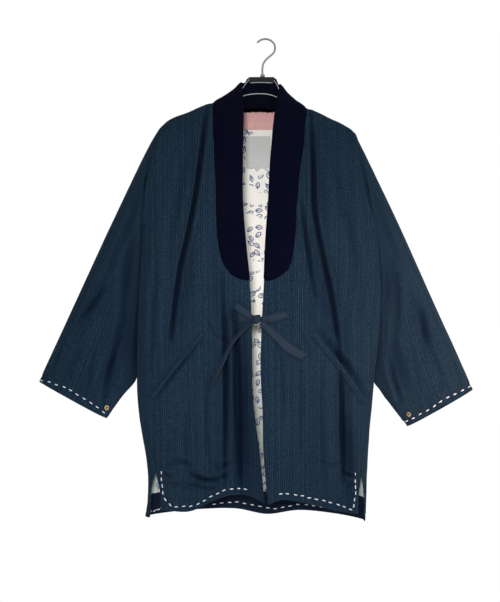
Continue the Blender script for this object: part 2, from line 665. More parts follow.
def grid_normals(grid, outward, ring=False):
    """Normals of a grid, turned to the side of a given direction at each point"""
    if ring:
        closed = np.concatenate([grid[:, -2:], grid, grid[:, :2]], 1)
        across = np.gradient(closed, axis=1)[:, 2:-2]
    else:
        across = np.gradient(grid, axis=1)
    normals = unit(np.cross(np.gradient(grid, axis=0), across))
    turned = np.einsum("...k,...k->...", normals, outward) < 0
    middle = np.median(turned) > 0.5
    return -normals if middle else normals


def run_along(grid, axis):
    steps = np.linalg.norm(np.diff(grid, axis=axis), axis=-1)
    pad = [(1, 0), (0, 0)] if axis == 0 else [(0, 0), (1, 0)]
    return np.cumsum(np.pad(steps, pad), axis=axis)


def bell(away, reach):
    """1 at a line, falling smoothly to 0 past its reach"""
    return np.exp(-((away / reach) ** 2))


def seam_dip(away, deep):
    """A sewn edge pulls in, and the padding stands up beside it"""
    rise = SEAM_RISE["share"] * deep * bell(away - SEAM_RISE["away"], SEAM_RISE["half"])
    return rise - deep * bell(away, SEAM_REACH)


def puckers(away, along, seed, high, pitch=15, reach=13):
    """Small ripples that run away from a row of stitches"""
    wander = hills(along, away * 0 + 3.3, 26, 50, seed)
    return high * np.exp(-away / reach) * np.sin(2 * np.pi * along / pitch + 2.4 * wander)


def unevenness(x, z, sizes, seed):
    """Soft hills of several sizes, one on another"""
    return sum(high * hills(x, z, wide, long, seed + n) for n, (high, wide, long) in enumerate(sizes))


# Meshes

def border_loop(rows, columns):
    """The cells round a grid's border, in order"""
    foot = [(0, j) for j in range(columns)]
    right = [(i, columns - 1) for i in range(1, rows)]
    head = [(rows - 1, j) for j in range(columns - 2, -1, -1)]
    left = [(i, 0) for i in range(rows - 2, 0, -1)]
    return foot + right + head + left


def rim_points(outer, inner, outward, steps):
    """Rows of points that round a cut edge over, from the outer face to the inner one"""
    middle, half = (outer + inner) / 2, (outer - inner) / 2
    thick = np.linalg.norm(half, axis=-1, keepdims=True)
    turns = np.pi * np.arange(1, steps) / steps
    return [middle + half * math.cos(turn) + outward * thick * math.sin(turn) for turn in turns]


def cloth_shell(name, outer, normals, wall, uv, finishes, ring=False, rim_steps=4, hollow=None, bound=None):
    """A closed cloth: outer face, rounded edges and inner face, with a finish for each face.
    hollow marks its folds, and bound the inside that the outer cloth is turned over."""
    rows, columns = outer.shape[:2]
    inner = outer - normals * np.asarray(wall)[..., None]
    points = [outer.reshape(-1, 3), inner.reshape(-1, 3)]
    faces, face_uv, face_slot = [], [], []
    count = rows * columns
    wide = columns if ring else columns - 1
    flat_uv = uv.reshape(-1, 2)
    uv_columns = uv.shape[1]
    for i in range(rows - 1):
        for j in range(wide):
            cells = [(i, j), (i, j + 1), (i + 1, j + 1), (i + 1, j)]
            outside = [a * columns + b % columns for a, b in cells]
            spots = [flat_uv[a * uv_columns + b] for a, b in cells]
            faces.append(outside)
            face_uv.extend(spots)
            face_slot.append(0)
            faces.append([count + k for k in reversed(outside)])
            face_uv.extend(reversed(spots))
            face_slot.append(1 if bound is None or not bound[i, j % columns] else 0)
    if ring:
        loops = [([(0, j) for j in range(columns)], 1), ([(rows - 1, j) for j in range(columns)], rows - 2)]
    else:
        loops = [(border_loop(rows, columns), None)]
    start = 2 * count
    for loop, behind in loops:
        i, j = np.array(loop).T
        if behind is None:
            inward_i = np.clip(i, 1, rows - 2)
            inward_j = np.clip(j, 1, columns - 2)
        else:
            inward_i, inward_j = np.full(len(loop), behind), j
        outward = unit(outer[i, j] - outer[inward_i, inward_j])
        arcs = rim_points(outer[i, j], inner[i, j], outward, rim_steps)
        points.extend(arcs)
        size = len(loop)
        ladder = [i * columns + j]
        ladder += [start + k * size + np.arange(size) for k in range(rim_steps - 1)]
        ladder.append(count + i * columns + j)
        spots = uv[i, j]
        for low, high in zip(ladder, ladder[1:]):
            for k in range(size):
                following = (k + 1) % size
                faces.append([low[k], high[k], high[following], low[following]])
                face_uv.extend([spots[k], spots[k], spots[following], spots[following]])
                face_slot.append(0)
        start += size * (rim_steps - 1)
    piece = make_mesh(name, np.concatenate(points), faces, finishes, face_slot, face_uv)
    if hollow is not None:
        deep = np.zeros(len(piece.data.vertices))
        deep[:count] = hollow.ravel()
        piece.data.attributes.new("hollow", "FLOAT", "POINT").data.foreach_set("value", deep)
    return piece


def make_mesh(name, points, faces, finishes, face_slot=None, face_uv=None):
    """One named piece from points in millimetres, its faces turned to face out"""
    mesh = bpy.data.meshes.new(name)
    mesh.from_pydata((np.asarray(points) * MM).tolist(), [], [list(map(int, face)) for face in faces])
    for finish in finishes:
        mesh.materials.append(finish)
    if face_slot is not None:
        mesh.polygons.foreach_set("material_index", face_slot)
    if face_uv is not None:
        layer = mesh.uv_layers.new(name="cut")
        layer.data.foreach_set("uv", (np.asarray(face_uv, float) * MM).ravel())
    mesh.polygons.foreach_set("use_smooth", [True] * len(mesh.polygons))
    mesh.update()
    if signed_volume(mesh) < 0:
        mesh.flip_normals()
    piece = bpy.data.objects.new(name, mesh)
    bpy.context.scene.collection.objects.link(piece)
    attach(piece, "root")
    return piece


def signed_volume(mesh):
    mesh.calc_loop_triangles()
    corners = np.zeros(len(mesh.loop_triangles) * 3, int)
    mesh.loop_triangles.foreach_get("vertices", corners)
    spots = np.zeros(len(mesh.vertices) * 3)
    mesh.vertices.foreach_get("co", spots)
    a, b, c = spots.reshape(-1, 3)[corners.reshape(-1, 3)].transpose(1, 0, 2)
    return np.einsum("ij,ij->", a, np.cross(b, c))


def swept(stations, section):
    """Points, faces and cloth coordinates of a body swept along stations (place, wide, deep)"""
    sides = len(section)
    points, spots = [], []
    run = 0.0
    for n, (place, wide, deep) in enumerate(stations):
        if n:
            run += np.linalg.norm(place - stations[n - 1][0])
        for w, d in section:
            points.append(place + wide * w + deep * d)
            spots.append((w * np.linalg.norm(wide), run))
    faces, face_uv = [], []
    last = sides * (len(stations) - 1)
    for i in range(len(stations) - 1):
        for k in range(sides):
            a, b = sides * i + k, sides * i + (k + 1) % sides
            face = [a, b, b + sides, a + sides]
            faces.append(face)
            face_uv.extend(spots[n] for n in face)
    for cap in ([*range(sides - 1, -1, -1)], [last + k for k in range(sides)]):
        faces.append(cap)
        face_uv.extend(spots[n] for n in cap)
    return points, faces, face_uv


def joined(parts):
    """Several bodies as one list of points, faces and cloth coordinates"""
    points, faces, face_uv = [], [], []
    for part_points, part_faces, part_uv in parts:
        start = len(points)
        points.extend(part_points)
        faces.extend([n + start for n in face] for face in part_faces)
        face_uv.extend(part_uv)
    return points, faces, face_uv


def round_section(count, square=1.0):
    """A closed outline of unit half size, squarer as square falls below 1"""
    turns = 2 * np.pi * (np.arange(count) + 0.5) / count
    return [(math.copysign(abs(math.cos(t)) ** square, math.cos(t)),
             math.copysign(abs(math.sin(t)) ** square, math.sin(t))) for t in turns]


# Finishes

def add(tree, kind, settings=None, **values):
    """A node with its settings and its inputs, each input a value or another node's output"""
    made = tree.nodes.new(kind)
    for key, value in (settings or {}).items():
        setattr(made, key, value)
    for key, value in values.items():
        spot = made.inputs[int(key[1:])] if key[0] == "i" and key[1:].isdigit() else made.inputs[key]
        if isinstance(value, bpy.types.NodeSocket):
            tree.links.new(value, spot)
        else:
            spot.default_value = value
    return made


def calc(tree, operation, *values):
    named = {f"i{n}": value for n, value in enumerate(values)}
    return add(tree, "ShaderNodeMath", {"operation": operation}, **named).outputs[0]


def ramp(tree, value, low, high, to_low=0.0, to_high=1.0):
    made = add(tree, "ShaderNodeMapRange", {"interpolation_type": "SMOOTHSTEP"}, i0=value, i1=low, i2=high,
               i3=to_low, i4=to_high)
    return made.outputs[0]


def mix_colour(tree, share, first, second):
    made = add(tree, "ShaderNodeMix", {"data_type": "RGBA"}, i0=share, i6=first, i7=second)
    return made.outputs[2]


def speckle(tree, place, scale, detail=2.0, roughness=0.5):
    made = add(tree, "ShaderNodeTexNoise", {}, Vector=place, Scale=scale, Detail=detail, Roughness=roughness)
    return made.outputs[0]


def group(name, inputs, outputs):
    """An empty shader group with named sockets: (name, kind, value) in, (name, kind) out"""
    tree = bpy.data.node_groups.new(name, "ShaderNodeTree")
    for title, kind, value in inputs:
        made = tree.interface.new_socket(title, in_out="INPUT", socket_type=kind)
        if value is not None:
            made.default_value = value
    for title, kind in outputs:
        tree.interface.new_socket(title, in_out="OUTPUT", socket_type=kind)
    return tree, tree.nodes.new("NodeGroupInput").outputs, tree.nodes.new("NodeGroupOutput").inputs


FLOAT, VECTOR = "NodeSocketFloat", "NodeSocketVector"


def stripe_group():
    """Thin upright stripes, each of its own strength, broken along their length"""
    tree, given, result = group(
        "Uneven stripes",
        [("Cut", VECTOR, None), ("Spacing", FLOAT, 0.005), ("Width", FLOAT, 0.4),
         ("Break length", FLOAT, 0.03)],
        [("Stripe", FLOAT), ("Height", FLOAT)])
    parts = add(tree, "ShaderNodeSeparateXYZ", {}, Vector=given["Cut"]).outputs
    wander = calc(tree, "MULTIPLY", calc(tree, "SUBTRACT", speckle(tree, given["Cut"], 45.0), 0.5), 0.0035)
    across = calc(tree, "DIVIDE", calc(tree, "ADD", parts["X"], wander), given["Spacing"])
    number = calc(tree, "FLOOR", across)
    own = add(tree, "ShaderNodeTexWhiteNoise", {"noise_dimensions": "1D"}, W=number).outputs[0]
    off_centre = calc(tree, "ABSOLUTE", calc(tree, "SUBTRACT", calc(tree, "FRACT", across), 0.5))
    line = ramp(tree, off_centre, given["Width"], 0.04)
    down = calc(tree, "DIVIDE", parts["Y"], given["Break length"])
    spot = add(tree, "ShaderNodeCombineXYZ", {}, X=calc(tree, "MULTIPLY", number, 7.31), Y=down, Z=0.0)
    broken = ramp(tree, speckle(tree, spot.outputs[0], 1.0, 3.0, 0.65), 0.36, 0.62, 0.25, 1.0)
    strength = ramp(tree, own, 0.0, 1.0, 0.35, 1.0)
    stripe = calc(tree, "MULTIPLY", calc(tree, "MULTIPLY", line, strength), broken)
    tree.links.new(stripe, result["Stripe"])
    tree.links.new(stripe, result["Height"])
    return tree


def weave_group():
    """The threads of a plain weave, as a height and a shade"""
    tree, given, result = group(
        "Plain weave",
        [("Cut", VECTOR, None), ("Threads", FLOAT, 900.0), ("Slub", FLOAT, 0.4)],
        [("Height", FLOAT), ("Shade", FLOAT)])
    parts = add(tree, "ShaderNodeSeparateXYZ", {}, Vector=given["Cut"]).outputs
    turn = calc(tree, "MULTIPLY", given["Threads"], math.pi)
    warp = calc(tree, "ABSOLUTE", calc(tree, "SINE", calc(tree, "MULTIPLY", parts["X"], turn)))
    weft = calc(tree, "ABSOLUTE", calc(tree, "SINE", calc(tree, "MULTIPLY", parts["Y"], turn)))
    cloth = calc(tree, "MULTIPLY", warp, weft)
    stretched = add(tree, "ShaderNodeMapping", {}, Vector=given["Cut"], Scale=(500.0, 60.0, 1.0)).outputs[0]
    crossed = add(tree, "ShaderNodeMapping", {}, Vector=given["Cut"], Scale=(60.0, 500.0, 1.0)).outputs[0]
    uneven = calc(tree, "ADD", speckle(tree, stretched, 1.0, 3.0), speckle(tree, crossed, 1.0, 3.0))
    slub = calc(tree, "MULTIPLY", calc(tree, "SUBTRACT", uneven, 1.0), given["Slub"])
    tree.links.new(calc(tree, "ADD", cloth, slub), result["Height"])
    tree.links.new(calc(tree, "ADD", calc(tree, "MULTIPLY", slub, 1.6), 0.5), result["Shade"])
    return tree


def wear_group():
    """Soft patches of fading and a little pale lint, as two masks"""
    tree, given, result = group(
        "Soft wear",
        [("Patch size", FLOAT, 0.12), ("Lint", FLOAT, 0.5)],
        [("Fade", FLOAT), ("Lint", FLOAT)])
    place = tree.nodes.new("ShaderNodeTexCoord").outputs["Object"]
    scale = calc(tree, "DIVIDE", 1.0, given["Patch size"])
    tree.links.new(ramp(tree, speckle(tree, place, scale, 4.0, 0.6), 0.32, 0.7), result["Fade"])
    fine = ramp(tree, speckle(tree, place, 620.0, 2.0, 0.5), 0.68, 0.78)
    tree.links.new(calc(tree, "MULTIPLY", fine, given["Lint"]), result["Lint"])
    return tree


def marks_group():
    """Handling marks on a hard surface: cloudy roughness and fine scratches"""
    tree, given, result = group(
        "Handling marks",
        [("Base roughness", FLOAT, 0.3), ("Spread", FLOAT, 0.1), ("Grain", FLOAT, 180.0)],
        [("Roughness", FLOAT), ("Height", FLOAT)])
    place = tree.nodes.new("ShaderNodeTexCoord").outputs["Object"]
    cloud = calc(tree, "SUBTRACT", speckle(tree, place, given["Grain"], 4.0, 0.6), 0.5)
    roughness = calc(tree, "ADD", given["Base roughness"], calc(tree, "MULTIPLY", cloud, given["Spread"]))
    tree.links.new(roughness, result["Roughness"])
    drawn = add(tree, "ShaderNodeMapping", {}, Vector=place, Scale=(900.0, 900.0, 60.0)).outputs[0]
    tree.links.new(speckle(tree, drawn, 1.0, 2.0), result["Height"])
    return tree


GROUPS = {"stripes": stripe_group(), "weave": weave_group(), "wear": wear_group(), "marks": marks_group()}


def placed(tree, name, **values):
    """One of the shared groups, placed in a material with its own values"""
    made = tree.nodes.new("ShaderNodeGroup")
    made.node_tree = GROUPS[name]
    made.label = GROUPS[name].name
    for key, value in values.items():
        spot = made.inputs[key.replace("_", " ")]
        if isinstance(value, bpy.types.NodeSocket):
            tree.links.new(value, spot)
        else:
            spot.default_value = value
    return made.outputs


def finish(name, **sockets):
    """A material with one Principled shader, whose even values are set on its own sockets"""
    material = bpy.data.materials.new(name)
    material.use_nodes = True
    tree = material.node_tree
    shader = tree.nodes["Principled BSDF"]
    for key, value in sockets.items():
        shader.inputs[key.replace("_", " ")].default_value = value
    return material, tree, shader


def bump(tree, shader, height, strength, distance):
    made = add(tree, "ShaderNodeBump", {}, Strength=strength, Distance=distance, Height=height)
    tree.links.new(made.outputs[0], shader.inputs["Normal"])


def cut_place(tree):
    return tree.nodes.new("ShaderNodeTexCoord").outputs["UV"]


def striped_cloth():
    material, tree, shader = finish("Striped padded cotton", Roughness=0.85, Sheen_Weight=0.03,
                                    Sheen_Roughness=0.5, Sheen_Tint=(0.4, 0.6, 0.85, 1),
                                    Specular_IOR_Level=0.06)
    cut = cut_place(tree)
    stripes = placed(tree, "stripes", Cut=cut, Spacing=0.0044, Width=0.30, Break_length=0.007)
    weave = placed(tree, "weave", Cut=cut, Threads=1100.0, Slub=0.5)
    wear = placed(tree, "wear", Patch_size=0.14, Lint=0.35)
    ground = mix_colour(tree, wear["Fade"], STRIPED["ground"], STRIPED["faded ground"])
    ground = mix_colour(tree, calc(tree, "MULTIPLY", weave["Shade"], 0.5), ground, STRIPED["deep ground"])
    flecked = add(tree, "ShaderNodeMapping", {}, Vector=cut, Scale=(620.0, 260.0, 1.0)).outputs[0]
    fleck = ramp(tree, speckle(tree, flecked, 1.0, 3.0, 0.6), 0.38, 0.66)
    ground = mix_colour(tree, fleck, STRIPED["deep ground"], ground)
    cloth = mix_colour(tree, stripes["Stripe"], ground, STRIPED["stripe"])
    cloth = mix_colour(tree, wear["Lint"], cloth, STRIPED["lint"])
    hollow = tree.nodes.new("ShaderNodeAttribute")
    hollow.attribute_name = "hollow"
    unfaded = calc(tree, "MULTIPLY", hollow.outputs["Fac"], UNFADED_SHARE)
    cloth = mix_colour(tree, unfaded, cloth, STRIPED["unfaded in folds"])
    tree.links.new(cloth, shader.inputs["Base Color"])
    high = calc(tree, "ADD", weave["Height"], calc(tree, "MULTIPLY", stripes["Height"], 0.9))
    bump(tree, shader, high, 0.5, 0.0003)
    return material


def plain_cloth(name, colours, threads, lint=0.3, strength=0.4, **sockets):
    """A plain woven cloth: its colour, its faded colour and its lint"""
    material, tree, shader = finish(name, **{"Roughness": 0.92, "Specular_IOR_Level": 0.05, **sockets})
    weave = placed(tree, "weave", Cut=cut_place(tree), Threads=threads, Slub=0.5)
    wear = placed(tree, "wear", Patch_size=0.1, Lint=lint)
    ground = mix_colour(tree, wear["Fade"], colours[0], colours[1])
    ground = mix_colour(tree, calc(tree, "MULTIPLY", weave["Shade"], 0.6), ground, colours[2])
    tree.links.new(mix_colour(tree, wear["Lint"], ground, colours[3]), shader.inputs["Base Color"])
    bump(tree, shader, weave["Height"], strength, 0.00025)
    return material


def lining_cloth():
    """Cream lining with loose brushed leaves in blue"""
    material, tree, shader = finish("Cream lining", Roughness=0.8, Specular_IOR_Level=0.3)
    cut = cut_place(tree)
    weave = placed(tree, "weave", Cut=cut, Threads=1300.0, Slub=0.35)
    wear = placed(tree, "wear", Patch_size=0.1, Lint=0.0)
    cells = add(tree, "ShaderNodeTexVoronoi", {"voronoi_dimensions": "2D"}, Vector=cut,
                Scale=MOTIF["scale"], Randomness=MOTIF["scatter"])
    scaled = add(tree, "ShaderNodeVectorMath", {"operation": "SCALE"}, Vector=cut, Scale=MOTIF["scale"])
    own = add(tree, "ShaderNodeSeparateColor", {}, Color=cells.outputs["Color"]).outputs
    centre = add(tree, "ShaderNodeVectorMath", {"operation": "SCALE"}, Vector=cells.outputs["Position"],
                 Scale=MOTIF["scale"])
    away = add(tree, "ShaderNodeVectorMath", {"operation": "SUBTRACT"}, i0=scaled.outputs[0],
               i1=centre.outputs[0])
    turned = add(tree, "ShaderNodeVectorRotate", {"rotation_type": "Z_AXIS"}, Vector=away.outputs[0],
                 Angle=calc(tree, "MULTIPLY", own["Red"], MOTIF["turn"]))
    parts = add(tree, "ShaderNodeSeparateXYZ", {}, Vector=turned.outputs[0]).outputs
    bristles = calc(tree, "SUBTRACT", speckle(tree, cut, 200.0, 3.0), 0.5)
    brush = calc(tree, "MULTIPLY", bristles, MOTIF["brush"])
    soft_edge = MOTIF["stroke"] * MOTIF["edge"]
    bow = add(tree, "ShaderNodeCombineXYZ", {}, X=parts["X"], Z=0.0,
              Y=calc(tree, "ADD", calc(tree, "ABSOLUTE", parts["Y"]), MOTIF["bow"])).outputs[0]
    radius = add(tree, "ShaderNodeVectorMath", {"operation": "LENGTH"}, Vector=bow).outputs["Value"]
    reach = calc(tree, "ADD", MOTIF["leaf"], calc(tree, "MULTIPLY", own["Green"], MOTIF["spread"]))
    off_leaf = calc(tree, "ABSOLUTE", calc(tree, "SUBTRACT", radius, reach))
    leaf = ramp(tree, calc(tree, "ADD", off_leaf, brush), MOTIF["stroke"], soft_edge)
    from_middle = calc(tree, "ABSOLUTE", calc(tree, "SUBTRACT", parts["X"], MOTIF["vein middle"]))
    off_vein = calc(tree, "MAXIMUM", calc(tree, "ABSOLUTE", parts["Y"]),
                    calc(tree, "SUBTRACT", from_middle, MOTIF["vein"]))
    vein = ramp(tree, calc(tree, "ADD", off_vein, brush), MOTIF["stroke"], soft_edge)
    leaf = calc(tree, "MAXIMUM", leaf, vein)
    slanted = add(tree, "ShaderNodeMapping", {}, Vector=cut, Rotation=(0.0, 0.0, 0.5),
                  Scale=(14.0, 34.0, 1.0))
    patches = speckle(tree, slanted.outputs[0], 1.0, 1.0)
    brushed = ramp(tree, patches, MOTIF["gap"] - 0.02, MOTIF["gap"] + 0.01)
    ink = calc(tree, "MULTIPLY", leaf, brushed)
    ground = mix_colour(tree, wear["Fade"], LINING["cream"], LINING["shade"])
    ground = mix_colour(tree, calc(tree, "MULTIPLY", weave["Shade"], 0.35), ground, LINING["deep"])
    height = add(tree, "ShaderNodeSeparateXYZ", {}, Vector=cut).outputs["Y"]
    low = ramp(tree, height, *GREY_LINING)
    ground = mix_colour(tree, low, ground, LINING["grey by the hem"])
    inked = mix_colour(tree, weave["Shade"], LINING["blue"], LINING["pale blue"])
    tree.links.new(mix_colour(tree, ink, ground, inked), shader.inputs["Base Color"])
    bump(tree, shader, weave["Height"], 0.3, 0.0002)
    return material


def banded_tape():
    """The pink band at the neck: woven ribs along its upper part"""
    material, tree, shader = finish("Pink neck tape", Roughness=0.85, Specular_IOR_Level=0.25)
    cut = cut_place(tree)
    weave = placed(tree, "weave", Cut=cut, Threads=1000.0, Slub=0.4)
    wear = placed(tree, "wear", Patch_size=0.05, Lint=0.1)
    down = add(tree, "ShaderNodeSeparateXYZ", {}, Vector=cut).outputs["Y"]
    ribs = ramp(tree, calc(tree, "SINE", calc(tree, "MULTIPLY", down, RIBS["turns"])), -0.4, 0.9)
    upper = ramp(tree, down, RIBS["from"], RIBS["to"])
    ribs = calc(tree, "MULTIPLY", ribs, upper)
    ground = mix_colour(tree, wear["Fade"], NECK["pink"], NECK["worn"])
    tree.links.new(mix_colour(tree, calc(tree, "MULTIPLY", ribs, 0.4), ground, NECK["rib"]),
                   shader.inputs["Base Color"])
    bump(tree, shader, calc(tree, "ADD", weave["Height"], ribs), 0.5, 0.0004)
    return material


def hard_finish(name, colours, roughness, spread, strength=0.1, **sockets):
    """Plastic or metal with handling marks"""
    material, tree, shader = finish(name, **sockets)
    marks = placed(tree, "marks", Base_roughness=roughness, Spread=spread, Grain=180.0)
    wear = placed(tree, "wear", Patch_size=0.02, Lint=0.0)
    tree.links.new(mix_colour(tree, wear["Fade"], colours[0], colours[1]), shader.inputs["Base Color"])
    tree.links.new(marks["Roughness"], shader.inputs["Roughness"])
    bump(tree, shader, marks["Height"], strength, 0.0002)
    return material


def sewing_thread():
    """White cotton thread, its twist running along each stitch"""
    material, tree, shader = finish("White sewing thread", Roughness=0.75, Sheen_Weight=0.2,
                                    Specular_IOR_Level=0.3)
    parts = add(tree, "ShaderNodeSeparateXYZ", {}, Vector=cut_place(tree)).outputs
    slant = calc(tree, "ADD", calc(tree, "MULTIPLY", parts["X"], TWIST["across"]),
                 calc(tree, "MULTIPLY", parts["Y"], TWIST["along"]))
    twist = ramp(tree, calc(tree, "SINE", slant), -1.0, 1.0)
    tree.links.new(mix_colour(tree, twist, THREAD["shade"], THREAD["white"]), shader.inputs["Base Color"])
    bump(tree, shader, twist, 0.6, 0.0004)
    return material


# Colours, as light reflected in red, green and blue
STRIPED = {
    "ground": (0.0110, 0.0260, 0.0430, 1),
    "faded ground": (0.0160, 0.0340, 0.0520, 1),
    "deep ground": (0.0040, 0.0105, 0.022, 1),
    "stripe": (0.022, 0.045, 0.066, 1),
    "lint": (0.08, 0.11, 0.13, 1),
    "unfaded in folds": (0.0016, 0.0042, 0.0125, 1),
}
COLLAR = [(0.0013, 0.0020, 0.0076, 1), (0.0024, 0.0030, 0.0105, 1), (0.0008, 0.0012, 0.0045, 1),
          (0.02, 0.02, 0.035, 1)]
TIE = [(0.0175, 0.029, 0.045, 1), (0.024, 0.037, 0.055, 1), (0.009, 0.015, 0.026, 1),
       (0.07, 0.09, 0.11, 1)]
FACING = [(0.006, 0.012, 0.024, 1), (0.009, 0.016, 0.030, 1), (0.004, 0.008, 0.016, 1),
          (0.04, 0.04, 0.05, 1)]
LABEL = [(0.62, 0.64, 0.60, 1), (0.56, 0.58, 0.55, 1), (0.50, 0.52, 0.49, 1), (0.7, 0.7, 0.7, 1)]
LINING = {
    "cream": (0.94, 0.94, 0.88, 1),
    "shade": (0.88, 0.86, 0.76, 1),
    "deep": (0.76, 0.74, 0.64, 1),
    "grey by the hem": (0.46, 0.50, 0.45, 1),
    "blue": (0.022, 0.050, 0.16, 1),
    "pale blue": (0.07, 0.12, 0.26, 1),
}
MOTIF = {"scale": 58.0, "scatter": 0.62, "turn": 6.3, "leaf": 0.40, "spread": 0.06, "bow": 0.22,
         "stroke": 0.075, "edge": 0.45, "brush": 0.09, "vein": 0.24, "vein middle": 0.2, "gap": 0.47}
NECK = {"pink": (0.76, 0.45, 0.42, 1), "worn": (0.68, 0.39, 0.37, 1), "rib": (0.50, 0.28, 0.28, 1)}
THREAD = {"white": (0.80, 0.82, 0.86, 1), "shade": (0.5, 0.53, 0.60, 1)}
GLOSSY_BLACK = [(0.002, 0.002, 0.003, 1), (0.004, 0.004, 0.005, 1)]
RIM_GREY = [(0.30, 0.30, 0.31, 1), (0.42, 0.42, 0.43, 1)]
DULL_BLACK = [(0.001, 0.0015, 0.0045, 1), (0.002, 0.003, 0.007, 1)]
HOOK_STEEL = [(0.36, 0.345, 0.32, 1), (0.25, 0.24, 0.22, 1)]
BRASS = [(0.66, 0.47, 0.22, 1), (0.48, 0.32, 0.14, 1)]
SOCKET_BRASS = [(0.06, 0.045, 0.03, 1), (0.03, 0.025, 0.02, 1)]

# Where finishes change: the dye left in folds, the greyer lining, the tape's ribs and the thread's twist
UNFADED_SHARE = 0.86
GREY_LINING = (-0.50, -0.82)
RIBS = {"turns": 2300.0, "from": -0.163, "to": -0.158}
TWIST = {"across": 2600.0, "along": 4200.0}

FINISHES = {
    "striped": striped_cloth(),
    "collar": plain_cloth("Plain dark collar cotton", COLLAR, 1200.0, Sheen_Weight=0.01),
    "tie": plain_cloth("Slate tape", TIE, 1500.0),
    "facing": plain_cloth("Dark hem facing", FACING, 1300.0),
    "label": plain_cloth("Pale woven label", LABEL, 1800.0, lint=0.0, strength=0.3),
    "lining": lining_cloth(),
    "neck": banded_tape(),
    "thread": sewing_thread(),
    "plastic": hard_finish("Glossy black plastic", GLOSSY_BLACK, 0.14, 0.1, Coat_Weight=0.15,
                           Coat_Roughness=0.08, Specular_IOR_Level=0.25),
    "polished plastic": hard_finish("Polished plastic rim", RIM_GREY, 0.2, 0.1, Coat_Weight=0.5,
                                    Coat_Roughness=0.1),
    "matte plastic": hard_finish("Dull black plastic", DULL_BLACK, 0.7, 0.2, Specular_IOR_Level=0.04),
    "metal": hard_finish("Bright hook metal", HOOK_STEEL, 0.26, 0.15, strength=0.2, Metallic=1.0),
    "brass": hard_finish("Snap brass", BRASS, 0.28, 0.2, Metallic=1.0),
    "dark brass": hard_finish("Snap socket", SOCKET_BRASS, 0.5, 0.2, Metallic=1.0),
}


# The big cloth pieces

CAMERA = np.array([-30.0, -4000.0, -522.0])
TOWARD_FRONT = np.array([0.0, -1.0, 0.0])
TOWARD_BACK = np.array([0.0, 1.0, 0.0])

# Sewing: how far in from an edge the stitches lie, their dent, the ripples beside each seam, how far
# the cloth stays still beside it, and how deep it dips there
HEM_STITCH = 11
STITCH_DENT = {"hem": 0.9, "slit": 0.8, "reach": 2.2}
HEM_RIPPLE = {"high": 0.7, "pitch": 15.6, "reach": 12}
COLLAR_RIPPLE = {"high": 0.35, "pitch": 12, "reach": 9}
COLLAR_SEAM_RIPPLE = {"high": 0.3, "pitch": 13, "reach": 8}
ARMHOLE_RIPPLE = {"high": 0.8}
STILL_BESIDE = {"side": 9, "shoulder": 12, "armhole": 7, "collar": 10}
COLLAR_FOLD = 3.0
DIP = {"side": 1.5, "armhole": 1.5, "shoulder": 1.0, "front edge": 1.3, "collar": 1.2, "under arm": 0.7}

# The rows where a panel meets the slit and the collar, and how far above the underarm ripples set in
ABOVE_SLIT = (SLIT_ROWS - 2, SLIT_ROWS + 4)
AT_COLLAR = (COLLAR_FOOT_ROW - 6, COLLAR_FOOT_ROW + 2)
BY_ARMHOLE = (4, 40)

# The dye left in folds: the depth of a fold that keeps it all, the part a broad valley keeps for each
# millimetre, and what is kept under the arms
FOLD_DEPTH = 12.5
VALLEY_SHARE = 0.08
UNDER_ARM_SHADE = {"right": 0.95, "left": 0.3}
UNDER_ARM_REACH = 58

# The sleeves: how they drop below the armhole, how flat creases may press them, how thin they get under
# the arm, where they count as facing, and how the creases behind are shifted from those in front
SLEEVE_DROP = {"deep": 5.5, "below": 18, "half": 14, "starts": 6}
PRESSED_SHARE = 0.42
FULL_PADDING = {"share": 0.9, "thick": 14}
THIN_UNDER_ARM = {"share": 0.8, "reach": 16}
BELOW_ARMHOLE = (8, 50)
ABOVE_CUFF = (60, 160)
FACING_GAIN = 1.4
BEHIND = (-0.2, 0.2)
BEHIND_SHIFT = (9, 22)
TURNED_IN = 20
TUCK = {"flatter": 0.8, "inward": 6}

# What is sewn inside the back: its lowest and highest rows, and how uneven it hangs
FACING_TOP = 9
SIDE_TURNING = 7
TOP_TURNING = 3
HANGS_UNEVEN = {"back_lining": 1.2, "back_hem_facing": 0.2}
surfaces = {}


def put_in_place(piece, node):
    """The piece stands in for its plain solid; its faces are kept to lay small things on"""
    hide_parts(node)
    mesh = piece.data
    surfaces[node] = BVHTree.FromPolygons([v.co[:] for v in mesh.vertices],
                                          [tuple(p.vertices) for p in mesh.polygons])


def hollow_share(crease, valleys, x, z):
    """How far a place lies down in a fold, from 0 to 1"""
    return np.clip(crease / FOLD_DEPTH + VALLEY_SHARE * valley_depth(valleys, x, z), 0, 1)


def stitched_row(from_edge, along, seed):
    """The ripples beside a row of running stitches, and the dent that it makes"""
    away = np.abs(from_edge - HEM_STITCH)
    return puckers(away, along, seed, **HEM_RIPPLE) - STITCH_DENT["hem"] * bell(away, STITCH_DENT["reach"])


def panel_relief(creases, x, z, from_side, up, seed, ripple_seed):
    """The relief of a body panel, still beside its seams, and its creases alone"""
    from_top = up[-1:] - up
    still = (1 - bell(from_side, STILL_BESIDE["side"])) * (1 - bell(from_top, STILL_BESIDE["shoulder"]))
    crease = crease_depth(creases, x, z) * still
    relief = unevenness(x, z, PADDING_HILLS, seed) * still - crease
    above_slit = smooth_step(np.arange(len(x))[:, None], *ABOVE_SLIT)
    relief += seam_dip(from_side, DIP["side"]) * above_slit + seam_dip(from_top, DIP["shoulder"])
    by_armhole = smooth_step(up - up[LOW_ROWS], *BY_ARMHOLE)
    relief += puckers(from_side, up, ripple_seed, **ARMHOLE_RIPPLE) * by_armhole
    return relief, crease


